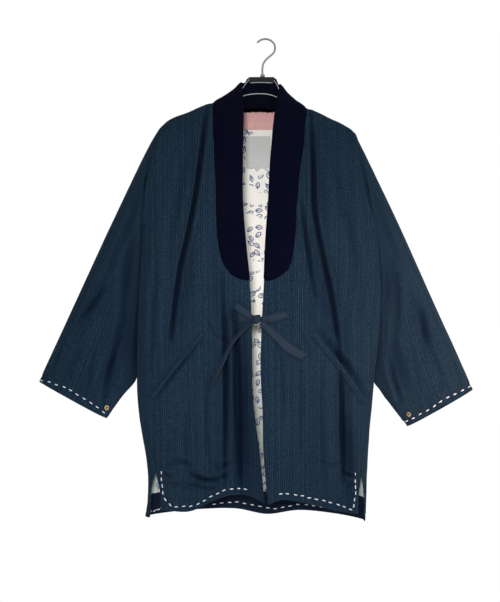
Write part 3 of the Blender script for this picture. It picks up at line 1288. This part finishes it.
def front_piece(name, grid):
    side = SIDES[name]
    grid = finer_columns(grid)
    x, z = grid[..., 0], grid[..., 2]
    normals = grid_normals(grid, TOWARD_FRONT)
    across, up = run_along(grid, 1), run_along(grid, 0)
    from_side = across[:, -1:] - across
    relief, crease = panel_relief(FRONT_CREASES, x, z, from_side, up, seed=11, ripple_seed=21)
    row = np.arange(len(grid))[:, None]
    at_collar = smooth_step(row, *AT_COLLAR)
    relief += seam_dip(across, DIP["front edge"]) * at_collar
    relief += puckers(across, up, seed=25, **COLLAR_RIPPLE) * at_collar
    relief += stitched_row(up, across, seed=23)
    slit_row = bell(from_side - HEM_STITCH, STITCH_DENT["reach"])
    relief -= STITCH_DENT["slit"] * slit_row * (row < SLIT_ROWS)
    outer = grid + normals * relief[..., None]
    uv = np.stack([grid[:, :1, 0] + side["sign"] * across, z], -1)
    piece = cloth_shell(f"sewn_front_{name}", outer, normals, CLOTH_WALL, uv,
                        [FINISHES["striped"], FINISHES["lining"]], bound=from_side < TURNED_IN,
                        hollow=hollow_share(crease, FRONT_VALLEYS, x, z))
    put_in_place(piece, f"front_{name}")


def back_piece(grid):
    """The back; its outer face is given on, for what is sewn inside it"""
    x, z = grid[..., 0], grid[..., 2]
    normals = grid_normals(grid, TOWARD_BACK)
    across, up = run_along(grid, 1), run_along(grid, 0)
    from_side = np.minimum(across, across[:, -1:] - across)
    relief, crease = panel_relief(BACK_CREASES, x, z, from_side, up, seed=31, ripple_seed=33)
    relief += stitched_row(up, across, seed=35)
    outer = grid + normals * relief[..., None]
    middle = grid.shape[1] // 2
    uv = np.stack([grid[:, middle:middle + 1, 0] + across - across[:, middle:middle + 1], z], -1)
    piece = cloth_shell("sewn_back", outer, normals, CLOTH_WALL, uv,
                        [FINISHES["striped"], FINISHES["facing"]],
                        hollow=hollow_share(crease, BACK_VALLEYS, x, z))
    put_in_place(piece, "back")
    return outer, normals, uv


def back_facings(outer, normals, uv):
    """The cream lining of the back, and the dark facing inside its hem"""
    spans = {
        "back_lining": (FACING_TOP, len(outer) - TOP_TURNING, "lining", "lining_cloth"),
        "back_hem_facing": (1, FACING_TOP + 1, "facing", "collar_cloth"),
    }
    for name, (low, high, finish_name, slot) in spans.items():
        cut = (slice(low, high), slice(SIDE_TURNING, -SIDE_TURNING))
        face, out, spots = outer[cut], normals[cut], uv[cut]
        drape = unevenness(spots[..., 0], spots[..., 1], LINING_HILLS, seed=41)
        highest = sum(size[0] for size in LINING_HILLS)
        depth = CLOTH_WALL + LINING_GAP + HANGS_UNEVEN[name] * (highest + drape)
        near = face - out * depth[..., None]
        piece = cloth_shell(f"sewn_{name}", near, out, LINING_WALL, spots, [FINISHES[finish_name]] * 2)
        put_in_place(piece, name)


def collar_piece(grid):
    outward = np.zeros(grid.shape)
    outward[..., :2] = grid[..., :2] - [BACK_NECK[0], 0.0]
    normals = grid_normals(grid, outward)
    along, from_seam = run_along(grid, 0), run_along(grid, 1)
    from_free = from_seam[:, -1:] - from_seam
    relief = unevenness(from_seam, along, COLLAR_HILLS, seed=51)
    relief *= 1 - bell(np.minimum(from_seam, from_free), STILL_BESIDE["collar"])
    relief += seam_dip(from_seam, DIP["collar"]) - DIP["collar"] * bell(from_free, COLLAR_FOLD)
    relief += puckers(from_seam, along, seed=53, **COLLAR_SEAM_RIPPLE)
    outer = grid + normals * relief[..., None]
    uv = np.stack([from_seam, along], -1)
    piece = cloth_shell("sewn_collar", outer, normals, COLLAR_WALL, uv, [FINISHES["collar"]] * 2,
                        rim_steps=6)
    put_in_place(piece, "collar")


def tucked_in(seam, sign):
    """The sleeve's own edge, turned in under the body's armhole"""
    edge = seam * [1, TUCK["flatter"], 1]
    edge[:, 0] -= sign * TUCK["inward"]
    return edge


def sleeve_piece(name, grid):
    """A sleeve: its rings start at the fold under the arm"""
    grid = finer_rows(grid)
    columns = grid.shape[1]
    grid = grid[:, (np.arange(columns) + ARMHOLE_ROWS) % columns]
    normals = grid_normals(grid, grid - grid.mean(axis=1, keepdims=True), ring=True)
    closed = np.concatenate([grid, grid[:, :1]], 1)
    around, down = run_along(closed, 1), run_along(closed, 0)
    top = columns - ARMHOLE_ROWS
    uv = np.stack([around - around[:, top:top + 1], -down], -1)
    from_under = np.minimum(around, around[:, -1:] - around)[:, :-1]
    around, down = around[:, :-1], down[:, :-1]
    from_cuff = down[-1:] - down
    x, z = grid[..., 0], grid[..., 2]
    facing = np.clip(np.abs(normals[..., 1]) * FACING_GAIN, 0, 1)
    behind = smooth_step(normals[..., 1], *BEHIND)
    still = 1 - bell(down, STILL_BESIDE["armhole"])
    crease = crease_depth(SLEEVE_CREASES, x + BEHIND_SHIFT[0] * behind, z + BEHIND_SHIFT[1] * behind)
    opposite = -np.arange(columns) % columns
    thick = np.abs(grid[..., 1] - grid[:, opposite, 1])
    crease = np.minimum(crease * facing * still, PRESSED_SHARE * thick)
    padded = np.minimum(FULL_PADDING["share"], thick / FULL_PADDING["thick"])
    relief = unevenness(x, z, PADDING_HILLS, seed=61) * still * padded - crease
    relief += seam_dip(down, DIP["armhole"]) + seam_dip(from_under, DIP["under arm"])
    falling = bell(down - SLEEVE_DROP["below"], SLEEVE_DROP["half"]) * (1 - bell(down, SLEEVE_DROP["starts"]))
    relief -= SLEEVE_DROP["deep"] * facing * (1 - behind) * falling
    relief += puckers(down, around, seed=63, **ARMHOLE_RIPPLE)
    relief += stitched_row(from_cuff, around, seed=65)
    outer = grid + normals * relief[..., None]
    outer[0] = tucked_in(grid[0], SIDES[name]["sign"])
    wall = CLOTH_WALL * (1 - THIN_UNDER_ARM["share"] * bell(from_under, THIN_UNDER_ARM["reach"]))
    along_arm = smooth_step(down, *BELOW_ARMHOLE) * smooth_step(from_cuff, *ABOVE_CUFF)
    under_arm = UNDER_ARM_SHADE[name] * bell(from_under, UNDER_ARM_REACH) * along_arm
    turned_in = (down < 2 * TURNED_IN) | (from_under < TURNED_IN)
    in_fold = hollow_share(crease, SLEEVE_VALLEYS, x, z) * (1 - behind)
    piece = cloth_shell(f"sewn_sleeve_{name}", outer, normals, wall, uv,
                        [FINISHES["striped"], FINISHES["lining"]], ring=True, bound=turned_in,
                        hollow=np.maximum(in_fold, under_arm))
    put_in_place(piece, f"sleeve_{name}")


# Small cloth pieces laid on the big ones

def seen_on(surface, x, z, from_behind=False):
    """Where a piece's face shows at a place of the hanger's plane, and the way it faces"""
    eye = np.array([x, 1500.0, z]) if from_behind else CAMERA
    target = np.array([x, 0.0, z])
    hit = surfaces[surface].ray_cast(Vector(eye * MM), Vector(target - eye).normalized())
    if hit[0] is None:
        return None
    place, normal = np.array(hit[0]) / MM, np.array(hit[1])
    toward = eye - place
    return place, normal if normal @ toward > 0 else -normal


def straight_on(surface, x, z):
    """Where a line along Y from the front meets a piece"""
    hit = surfaces[surface].ray_cast(Vector((x * MM, -1.0, z * MM)), Vector((0, 1, 0)))
    if hit[0] is None:
        hit = surfaces[surface].find_nearest(Vector((x * MM, 0, z * MM)))
    place, normal = np.array(hit[0]) / MM, np.array(hit[1])
    return place, normal if normal[1] < 0 else -normal


def laid_sheet(name, surface, spots, wall, uv, finish_name, raise_by):
    """A thin piece laid on a face: a grid of (x, z) spots dropped on it and lifted off it"""
    drops = [[straight_on(surface, x, z) for x, z in row] for row in spots]
    base = np.array([[place for place, _ in row] for row in drops])
    outward = np.array([[normal for _, normal in row] for row in drops])
    outward = unit(smoothed(outward))
    high = LINING_GAP + wall + raise_by
    outer = smoothed(base) + outward * np.asarray(high)[..., None]
    piece = cloth_shell(f"sewn_{name}", outer, outward, wall, uv, [FINISHES[finish_name]] * 2, rim_steps=3)
    put_in_place(piece, name)


def smoothed(values):
    """A grid of vectors, each evened with its neighbours"""
    padded = np.pad(values, ((1, 1), (1, 1), (0, 0)), mode="edge")
    padded[0], padded[-1] = 2 * padded[1] - padded[2], 2 * padded[-2] - padded[-3]
    padded[:, 0], padded[:, -1] = 2 * padded[:, 1] - padded[:, 2], 2 * padded[:, -2] - padded[:, -3]
    return (padded[1:-1, 1:-1] * 2 + padded[:-2, 1:-1] + padded[2:, 1:-1] + padded[1:-1, :-2]
            + padded[1:-1, 2:]) / 6


# How the neck tape is gathered along its lower part, how the label waves and how the welts are crowned
GATHERS = {"high": 0.8, "turn": 0.85, "wander": 2, "down": (158, 170)}
LABEL_WAVE = {"high": 0.5, "lift": 0.7}
WELT_CROWN = {"high": 0.7, "wave": 0.25}


def rectangle(x_range, z_range, columns, rows):
    x = np.linspace(*x_range, columns + 1)
    z = np.linspace(*z_range, rows + 1)
    return np.stack(np.meshgrid(x, z), -1)


def neck_tape_and_label():
    tape = rectangle(NECK_TAPE["x"], NECK_TAPE["z"], 96, 20)
    wander = hills(tape[..., 0], tape[..., 1], 18, 30, seed=71)
    gathers = GATHERS["high"] * np.sin(tape[..., 0] * GATHERS["turn"] + GATHERS["wander"] * wander)
    low = smooth_step(-tape[..., 1], *GATHERS["down"])
    laid_sheet("neck_tape", "back_lining", tape, LINING_WALL, tape, "neck",
               GATHERS["high"] + gathers * low)
    label = rectangle(SIZE_LABEL["x"], SIZE_LABEL["z"], 30, 32)
    wave = LABEL_WAVE["high"] * hills(label[..., 0], label[..., 1], 26, 40, seed=73)
    laid_sheet("size_label", "back_lining", label, LABEL_WALL, label, "label",
               LABEL_WAVE["lift"] + wave)


def pocket_welt(name):
    """A pocket mouth: a narrow double fold along its slanted line"""
    line = Line(POCKETS[name])
    shares = np.linspace(0, 1, 61)
    spots, heading = line.at(shares), line.heading(shares)
    across = np.linspace(-0.5, 0.5, 9)
    away = across[None, :, None] * WELT_WIDTH * np.stack([-heading[:, 2], heading[:, 0]], -1)[:, None]
    grid = spots[:, None, [0, 2]] + away
    wave = hills(shares[:, None] * 150, across[None] * WELT_WIDTH, 14, 9, seed=81)
    crown = WELT_CROWN["high"] * np.cos(np.pi * across)[None] + WELT_CROWN["wave"] * wave
    uv = np.stack(np.broadcast_arrays(across[None] * WELT_WIDTH, -shares[:, None] * line.length), -1)
    laid_sheet(f"pocket_welt_{name}", f"front_{name}", grid, WELT_WALL, uv, "striped",
               crown)


# The tie

# The underside of a folded tape, hollow down its middle, and a wrap of the knot, as shares of its
# width and height; then the sway of a tape, and the soft core of the knot
TAPE_UNDERSIDE = [(-0.5, -0.35), (-0.47, -0.5), (-0.25, -0.44), (0, -0.38), (0.25, -0.44), (0.47, -0.5),
                  (0.5, -0.35)]
WRAP_SECTION = [(-0.5, -0.4), (-0.46, 0.25), (-0.2, 0.6), (0.2, 0.6), (0.46, 0.25), (0.5, -0.4)]
TAPE_LAYERS = 1.5
TAPE_SWAY = {"high": 0.5, "pitch": 20}
KNOT_CORE = {"ends": 0.96, "rings": 13, "tilt": 0.12, "share": 0.86}


def tie_tape(name, rows):
    """A flat folded tape along its places, a little hollow down its middle"""
    per_span = 14
    line = Line([row[:3] for row in rows], per_span)
    steps = np.linspace(0, len(rows) - 1, len(line.points))
    keys = np.arange(len(rows))
    wide = np.stack([value_at(keys, [row[k] for row in rows], steps) for k in (3, 4, 5)], -1)
    heading = unit(np.gradient(line.points, axis=0))
    deep = unit(np.cross(heading, wide))
    sway = TAPE_SWAY["high"] * hills(steps * TAPE_SWAY["pitch"], steps * 0 + len(name), 17, 9, seed=91)
    section = TAPE_UNDERSIDE + [(across, -low) for across, low in reversed(TAPE_UNDERSIDE)]
    stations = [(place + d * s, w, d * TAPE_WALL * TAPE_LAYERS)
                for place, w, d, s in zip(line.points, wide, deep, sway)]
    points, faces, face_uv = swept(stations, section)
    piece = make_mesh(f"tied_{name}", points, faces, [FINISHES["tie"]], face_uv=face_uv)
    put_in_place(piece, name)


def tie_knot():
    """The knot: a tape wrapped round the crossing, over a soft core"""
    centre, reach = np.array(KNOT["place"], float), np.array(KNOT["reach"], float)
    core = []
    for ring in np.linspace(-KNOT_CORE["ends"], KNOT_CORE["ends"], KNOT_CORE["rings"]):
        half = KNOT_CORE["share"] * math.sqrt(1 - ring**2)
        core.append((centre + [ring * reach[0], 0, KNOT_CORE["tilt"] * ring * reach[2]],
                     np.array([0, reach[1] * half, 0]), np.array([0, 0, reach[2] * half])))
    parts = [swept(core, round_section(20))]
    for tilt, width, grow, shift in KNOT["wraps"]:
        turns = np.linspace(0, 2 * np.pi, 41)
        ring = np.stack([np.sin(turns) * tilt * 5 + shift, -np.cos(turns) * reach[1] * grow,
                         np.sin(turns) * reach[2] * grow], -1)
        out = unit(ring * [0, 1, 1])
        stations = [(centre + place, np.array([width, 0, tilt * width]), outward * KNOT["wall"])
                    for place, outward in zip(ring, out)]
        parts.append(swept(stations, WRAP_SECTION))
    points, faces, face_uv = joined(parts)
    piece = make_mesh("tied_tie_knot", points, faces, [FINISHES["tie"]], face_uv=face_uv)
    put_in_place(piece, "tie_knot")


# Running stitches: piece, seen from behind, spacing, then (x, z) points of each row

STITCH_ROWS = [
    ("sleeve_right", False, 15.6, [(-447, -680), (-401, -695), (-360, -718), (-323, -744)]),
    ("sleeve_left", False, 15.6, [(409.6, -693.4), (364.4, -716.4), (315.4, -746.6), (282.6, -763.4)]),
    ("sleeve_right", True, 15.6, [(-442, -684), (-401, -697), (-360, -720), (-323, -744)]),
    ("sleeve_left", True, 15.6, [(405, -697), (364, -718), (315, -748), (283, -764)]),
    ("front_right", False, 14.4, [(-208.6, -864), (-205.4, -892), (-202, -916), (-191, -930)]),
    ("front_right", False, 14.6, [(-178, -933.2), (-144, -930.8), (-116, -917.6), (-77, -899.4), (-47, -897),
                                  (-38, -899.6)]),
    ("front_left", False, 14.0, [(32, -908), (45, -907), (71, -911.6), (130, -924.8), (172.4, -938.6)]),
    ("front_left", False, 13.0, [(176.4, -931.2), (180, -908), (181, -869.8)]),
    ("back_hem_facing", False, 9.0, [(-229.4, -942.8), (-212, -937), (-198.6, -934.4)]),
    ("back_hem_facing", False, 15.6, [(-102, -928), (-54.4, -924.2), (-20.4, -930.4), (17.2, -937.4),
                                      (63.6, -929.2), (127.6, -934.8)]),
    ("back", True, 15.6, [(-222, -940), (-190, -937), (-118, -930), (-50, -929), (2, -940), (62, -932),
                          (130, -938), (192, -948)]),
]

# One stitch: length, half width and half height, how high it stands, how far its ends dive, and how
# unevenly a hand places it across, up and in its lean
STITCH = {"length": 8.2, "wide": 1.1, "high": 0.85, "stands": 0.75, "dives": 1.5}
BY_HAND = {"across": 0.7, "up": 0.5, "lean": 0.07}


def stitch(place, heading, normal):
    """One raised stitch that dives into the cloth at both ends"""
    side = unit(np.cross(normal, heading))
    stations = []
    for s in np.linspace(-1, 1, 9):
        swell = math.sqrt(max(1 - abs(s) ** 3.2, 0.02))
        raised = normal * (STITCH["stands"] - STITCH["dives"] * s**4)
        centre = place + heading * s * STITCH["length"] / 2 + raised
        stations.append((centre, side * STITCH["wide"] * swell, normal * STITCH["high"] * swell))
    return swept(stations, round_section(10))


def running_stitches():
    draw = np.random.default_rng(5)
    parts = []
    for surface, behind, spacing, path in STITCH_ROWS:
        line = Line(path)
        count = max(int(round(line.length / spacing)), 1)
        shares = (np.arange(count + 1)) / count
        headings = line.heading(shares)
        for spot, heading in zip(line.at(shares), headings):
            x = spot[0] + draw.normal(0, BY_HAND["across"])
            z = spot[2] + draw.normal(0, BY_HAND["up"])
            seen = seen_on(surface, x, z, behind)
            if seen is None:
                continue
            place, normal = seen
            lean = heading + np.array([0, 0, draw.normal(0, BY_HAND["lean"])])
            flat = unit(lean - normal * (lean @ normal))
            parts.append(stitch(place, flat, normal))
    points, faces, face_uv = joined(parts)
    piece = make_mesh("running_stitches", points, faces, [FINISHES["thread"]], face_uv=face_uv)


# Snaps and hanger

# A snap from its middle out: radius, height, and 1 where the dark socket shows
SNAP_PROFILE = [(0, 0.9, 1), (1.3, 0.9, 1), (1.5, 1.5, 1), (2.0, 2.0, 0), (2.7, 2.25, 0), (3.4, 2.1, 0),
                (3.8, 1.5, 0), (4.1, 1.25, 0), (4.7, 1.25, 0), (5.0, 0.9, 0), (5.0, 0.2, 0), (4.6, -0.3, 0),
                (0, -0.3, 0)]
SNAP_LIFT = 0.4

# The ring where the hook enters the hanger: height and radius
HOOK_RING = [(-68.5, 3.2), (-69.0, 4.4), (-71.0, 4.8), (-73.2, 4.8), (-73.8, 4.2)]

# The polished rims of the neck plate, each with its half width, and the glossy cap on its top
RIM_DEPTH = 5.4
PLATE_RIMS = [
    (0.9, [(-31, -86.6), (-10, -85.8), (16.6, -86.6)]),
    (0.8, [(-31, -79), (-39, -89), (-48.5, -103)]),
    (0.8, [(17, -80), (24, -91), (30, -105)]),
    (1.0, [(-48, -113.6), (-30, -109.6), (-11.4, -108.2), (8, -109.8), (27, -116)]),
]
CAP = [(-30.5, -84.6), (-31.5, -81.5), (-29, -78.4), (-25, -77.4), (-7, -77), (11, -77.4), (15, -78.4),
       (17.4, -81.5), (16.6, -84.6)]
CAP_OVERHANG = 9
CAP_EDGE = 1.8


def snap(name):
    """A ring-edged stud on the cuff, hollow in its middle"""
    x, z = SNAPS[name]
    place, normal = straight_on(f"sleeve_{name}", x, z)
    sides = 40
    side = unit(np.cross(normal, [0.0, 0.0, 1.0]))
    up = np.cross(side, normal)
    points, faces, slots, face_uv = [], [], [], []
    for radius, height, _ in SNAP_PROFILE:
        for k in range(sides):
            turn = 2 * math.pi * k / sides
            spoke = side * math.cos(turn) + up * math.sin(turn)
            points.append(place + normal * (height + SNAP_LIFT) + spoke * radius)
    for i in range(len(SNAP_PROFILE) - 1):
        for k in range(sides):
            a, b = i * sides + k, i * sides + (k + 1) % sides
            faces.append([a, b, b + sides, a + sides])
            slots.append(SNAP_PROFILE[i + 1][2])
            face_uv.extend([(k, i), (k + 1, i), (k + 1, i + 1), (k, i + 1)])
    piece = make_mesh(f"pressed_snap_{name}", points, faces, [FINISHES["brass"], FINISHES["dark brass"]],
                      slots, face_uv)
    put_in_place(piece, f"snap_{name}")


def hanger_hook():
    """The flat wire of the hook, its edges softened and its end rounded"""
    line = Line(HOOK_LINE, per_span=14)
    heading = unit(np.gradient(line.points, axis=0))
    stations = []
    for n, (place, run) in enumerate(zip(line.points, heading)):
        swell = min(1.0, math.sqrt(0.15 + n / 7))
        stations.append((place, np.array([0, WIRE_HALF_WIDTH, 0]) * swell,
                         np.array([run[2], 0, -run[0]]) * WIRE_HALF_DEPTH * swell))
    points, faces, face_uv = swept(stations, round_section(20, 0.55))
    foot_x = HOOK_LINE[-1][0]
    ring = [(np.array([foot_x, 0, z]), np.array([r, 0, 0]), np.array([0, r, 0])) for z, r in HOOK_RING]
    points, faces, face_uv = joined([(points, faces, face_uv), swept(ring, round_section(24))])
    piece = make_mesh("bent_hanger_hook", points, faces, [FINISHES["metal"]], face_uv=face_uv)
    put_in_place(piece, "hanger_hook")


def bar_outline():
    """The bar's outline in the hanger's plane: under both shoulders, over the neck, and its arch below"""
    def under(side, shares):
        line = Line(side["shoulder"])
        spots, run = line.at(shares), line.heading(shares)
        away = (BAR_DROP + BAR_EDGE) * side["sign"]
        return np.stack([spots[:, 0] + run[:, 2] * away, spots[:, 2] - run[:, 0] * away], -1)

    shares = np.linspace(1 / 6, 5 / 6, 12)
    right = under(SIDES["right"], shares)[::-1]
    left = under(SIDES["left"], shares)
    neck = np.array(BAR_NECK, float)
    arch = Line(BAR_ARCH).at(np.linspace(0, 1, 30))[:, [0, 2]]
    return np.concatenate([right, neck, left, arch])


def curve_mesh(outline, thick, edge):
    """A flat plate from an outline, with rounded edges, as points and faces in millimetres"""
    curve = bpy.data.curves.new("outline", "CURVE")
    curve.dimensions = "2D"
    curve.fill_mode = "BOTH"
    curve.extrude = thick / 2 * MM
    curve.bevel_depth = edge * MM
    curve.bevel_resolution = 4
    spline = curve.splines.new("POLY")
    spline.points.add(len(outline) - 1)
    for point, (x, z) in zip(spline.points, outline):
        point.co = (x * MM, z * MM, 0, 1)
    spline.use_cyclic_u = True
    holder = bpy.data.objects.new("outline", curve)
    bpy.context.scene.collection.objects.link(holder)
    bpy.context.view_layer.update()
    mesh = holder.evaluated_get(bpy.context.evaluated_depsgraph_get()).to_mesh()
    points = [np.array([v.co.x, -v.co.z, v.co.y]) / MM for v in mesh.vertices]
    faces = [list(p.vertices) for p in mesh.polygons]
    face_uv = [(points[n][0], points[n][2]) for face in faces for n in face]
    holder.to_mesh_clear()
    bpy.data.objects.remove(holder)
    bpy.data.curves.remove(curve)
    return points, faces, face_uv


def hanger_bar():
    """The moulded bar: a dull plate with rounded edges, a glossy cap and polished rims round its panels"""
    points, faces, face_uv = curve_mesh(bar_outline(), BAR_CORE, BAR_EDGE * 0.96)
    piece = make_mesh("moulded_hanger_bar", points, faces, [FINISHES["matte plastic"]], face_uv=face_uv)
    put_in_place(piece, "hanger_bar")
    rims = []
    for half, path in PLATE_RIMS:
        line = Line(path, per_span=12)
        heading = unit(np.gradient(line.points, axis=0))
        from_end = np.minimum(np.arange(len(heading)), np.arange(len(heading))[::-1])
        swell = np.minimum(1, from_end / 4 + 0.3)
        for facing in (-1, 1):
            stations = [(place + [0, facing * (RIM_DEPTH + BAR_CORE / 2), 0],
                         np.array([-run[2], 0, run[0]]) * half * grow, np.array([0, 1.3, 0]))
                        for place, run, grow in zip(line.points, heading, swell)]
            rims.append(swept(stations, round_section(12)))
    points, faces, face_uv = joined(rims)
    rim = make_mesh("hanger_rims", points, faces, [FINISHES["polished plastic"]], face_uv=face_uv)
    points, faces, face_uv = curve_mesh(np.array(CAP, float), BAR_CORE + CAP_OVERHANG, CAP_EDGE)
    lid = make_mesh("hanger_cap", points, faces, [FINISHES["plastic"]], face_uv=face_uv)


# Cutting, sewing and hanging

grids = {name: front_grid(SIDES[name]) for name in SIDES}
back = back_grid()
front_piece("right", grids["right"])
front_piece("left", grids["left"])
back_outer, back_normals, back_uv = back_piece(back)
back_facings(back_outer, back_normals, back_uv)
collar_piece(collar_grid(grids["right"], grids["left"], back))
sleeve_piece("right", sleeve_grid(SIDES["right"], grids["right"], back[:, 0]))
sleeve_piece("left", sleeve_grid(SIDES["left"], grids["left"], back[:, -1]))
neck_tape_and_label()
for name in SIDES:
    pocket_welt(name)
    snap(name)
for name, rows in TIE_TAPES.items():
    tie_tape(name, rows)
tie_knot()
running_stitches()
hanger_hook()
hanger_bar()


# Camera, light and floor

WORLD = {"light": 0.12, "mirrored": 0.9, "seen": 1.0}
FLOOR = {"reach": 1.6, "height": -1.6, "sides": 96}

# Lamps, in metres: place, target, size and power; an aimed lamp has a cone in degrees and a colour too
LAMPS = [
    ("key lamp", (3.1, -2.2, 0.9), (0, 0, -0.5), 1.2, 70),
    ("back lamp", (0.5, 2.6, 1.0), (0, 0, -0.45), 1.6, 60),
]
AIMED_LAMPS = [
    ("front lamp", (-0.3, -4.2, 0.2), (-0.06, 0, -0.5), 0.5, 820, 21, (1, 0.97, 1)),
    ("sleeve lamp", (1.6, -4.0, 0.2), (0.46, 0, -0.6), 0.3, 3000, 7.5, (1, 0.6, 0.48)),
    ("hem lamp", (-0.9, -4.1, -1.1), (-0.12, 0, -0.82), 0.4, 420, 9, (1, 0.88, 1)),
]


def look_at(thing, target):
    thing.rotation_euler = (Vector(target) - thing.location).to_track_quat("-Z", "Y").to_euler()


def camera():
    """The photograph's frame at the hanger's plane: 2 mm to a pixel, 602 pixels high"""
    frame_height = 1.204
    data = bpy.data.cameras.new("camera")
    data.sensor_width = 36
    data.lens = data.sensor_width * abs(CAMERA[1]) * MM / frame_height
    data.clip_end = 50
    made = bpy.data.objects.new("camera", data)
    bpy.context.scene.collection.objects.link(made)
    made.location = CAMERA * MM
    made.rotation_euler = (math.pi / 2, 0, 0)
    bpy.context.scene.camera = made


def soft_light(name, place, target, size, power):
    data = bpy.data.lights.new(name, "AREA")
    data.shape = "DISK"
    data.size = size
    data.energy = power
    put_light(data, place, target)


def aimed_light(name, place, target, size, power, cone, colour):
    """A lamp whose light fades out smoothly at the edge of its cone, an angle in degrees"""
    data = bpy.data.lights.new(name, "SPOT")
    data.shadow_soft_size = size
    data.energy = power
    data.spot_size = math.radians(cone)
    data.color = colour
    data.spot_blend = 1.0
    put_light(data, place, target)


def put_light(data, place, target):
    made = bpy.data.objects.new(data.name, data)
    bpy.context.scene.collection.objects.link(made)
    made.location = place
    made.visible_glossy = False
    look_at(made, target)


def studio():
    """White surroundings that light the coat softly, the lamps and a pale floor"""
    bpy.context.scene.view_settings.view_transform = "Standard"
    world = bpy.data.worlds.new("white studio")
    bpy.context.scene.world = world
    world.use_nodes = True
    tree = world.node_tree
    tree.nodes.clear()
    rays = tree.nodes.new("ShaderNodeLightPath").outputs
    mirrored = ramp(tree, rays["Is Glossy Ray"], 0.0, 1.0, WORLD["light"], WORLD["mirrored"])
    dim = add(tree, "ShaderNodeBackground", {}, Color=(0.95, 0.97, 1.0, 1), Strength=mirrored)
    bright = add(tree, "ShaderNodeBackground", {}, Color=(1, 1, 1, 1), Strength=WORLD["seen"])
    mixed = add(tree, "ShaderNodeMixShader", {}, i0=rays["Is Camera Ray"], i1=dim.outputs[0],
                i2=bright.outputs[0])
    out = tree.nodes.new("ShaderNodeOutputWorld")
    tree.links.new(mixed.outputs[0], out.inputs[0])
    for lamp in LAMPS:
        soft_light(*lamp)
    for lamp in AIMED_LAMPS:
        aimed_light(*lamp)
    floor_mesh = bpy.data.meshes.new("floor")
    turns = [2 * math.pi * k / FLOOR["sides"] for k in range(FLOOR["sides"])]
    ring = [(FLOOR["reach"] * math.cos(turn), FLOOR["reach"] * math.sin(turn), FLOOR["height"])
            for turn in turns]
    floor_mesh.from_pydata(ring, [], [list(range(FLOOR["sides"]))])
    floor_material, tree, shader = finish("Pale floor", Roughness=0.7, Emission_Color=(1, 1, 1, 1),
                                          Emission_Strength=0.45)
    cloud = speckle(tree, tree.nodes.new("ShaderNodeTexCoord").outputs["Object"], 3.0, 4.0)
    tree.links.new(mix_colour(tree, cloud, (0.80, 0.80, 0.80, 1), (0.86, 0.86, 0.86, 1)),
                   shader.inputs["Base Color"])
    floor_mesh.materials.append(floor_material)
    floor = bpy.data.objects.new("floor", floor_mesh)
    bpy.context.scene.collection.objects.link(floor)


camera()
studio()
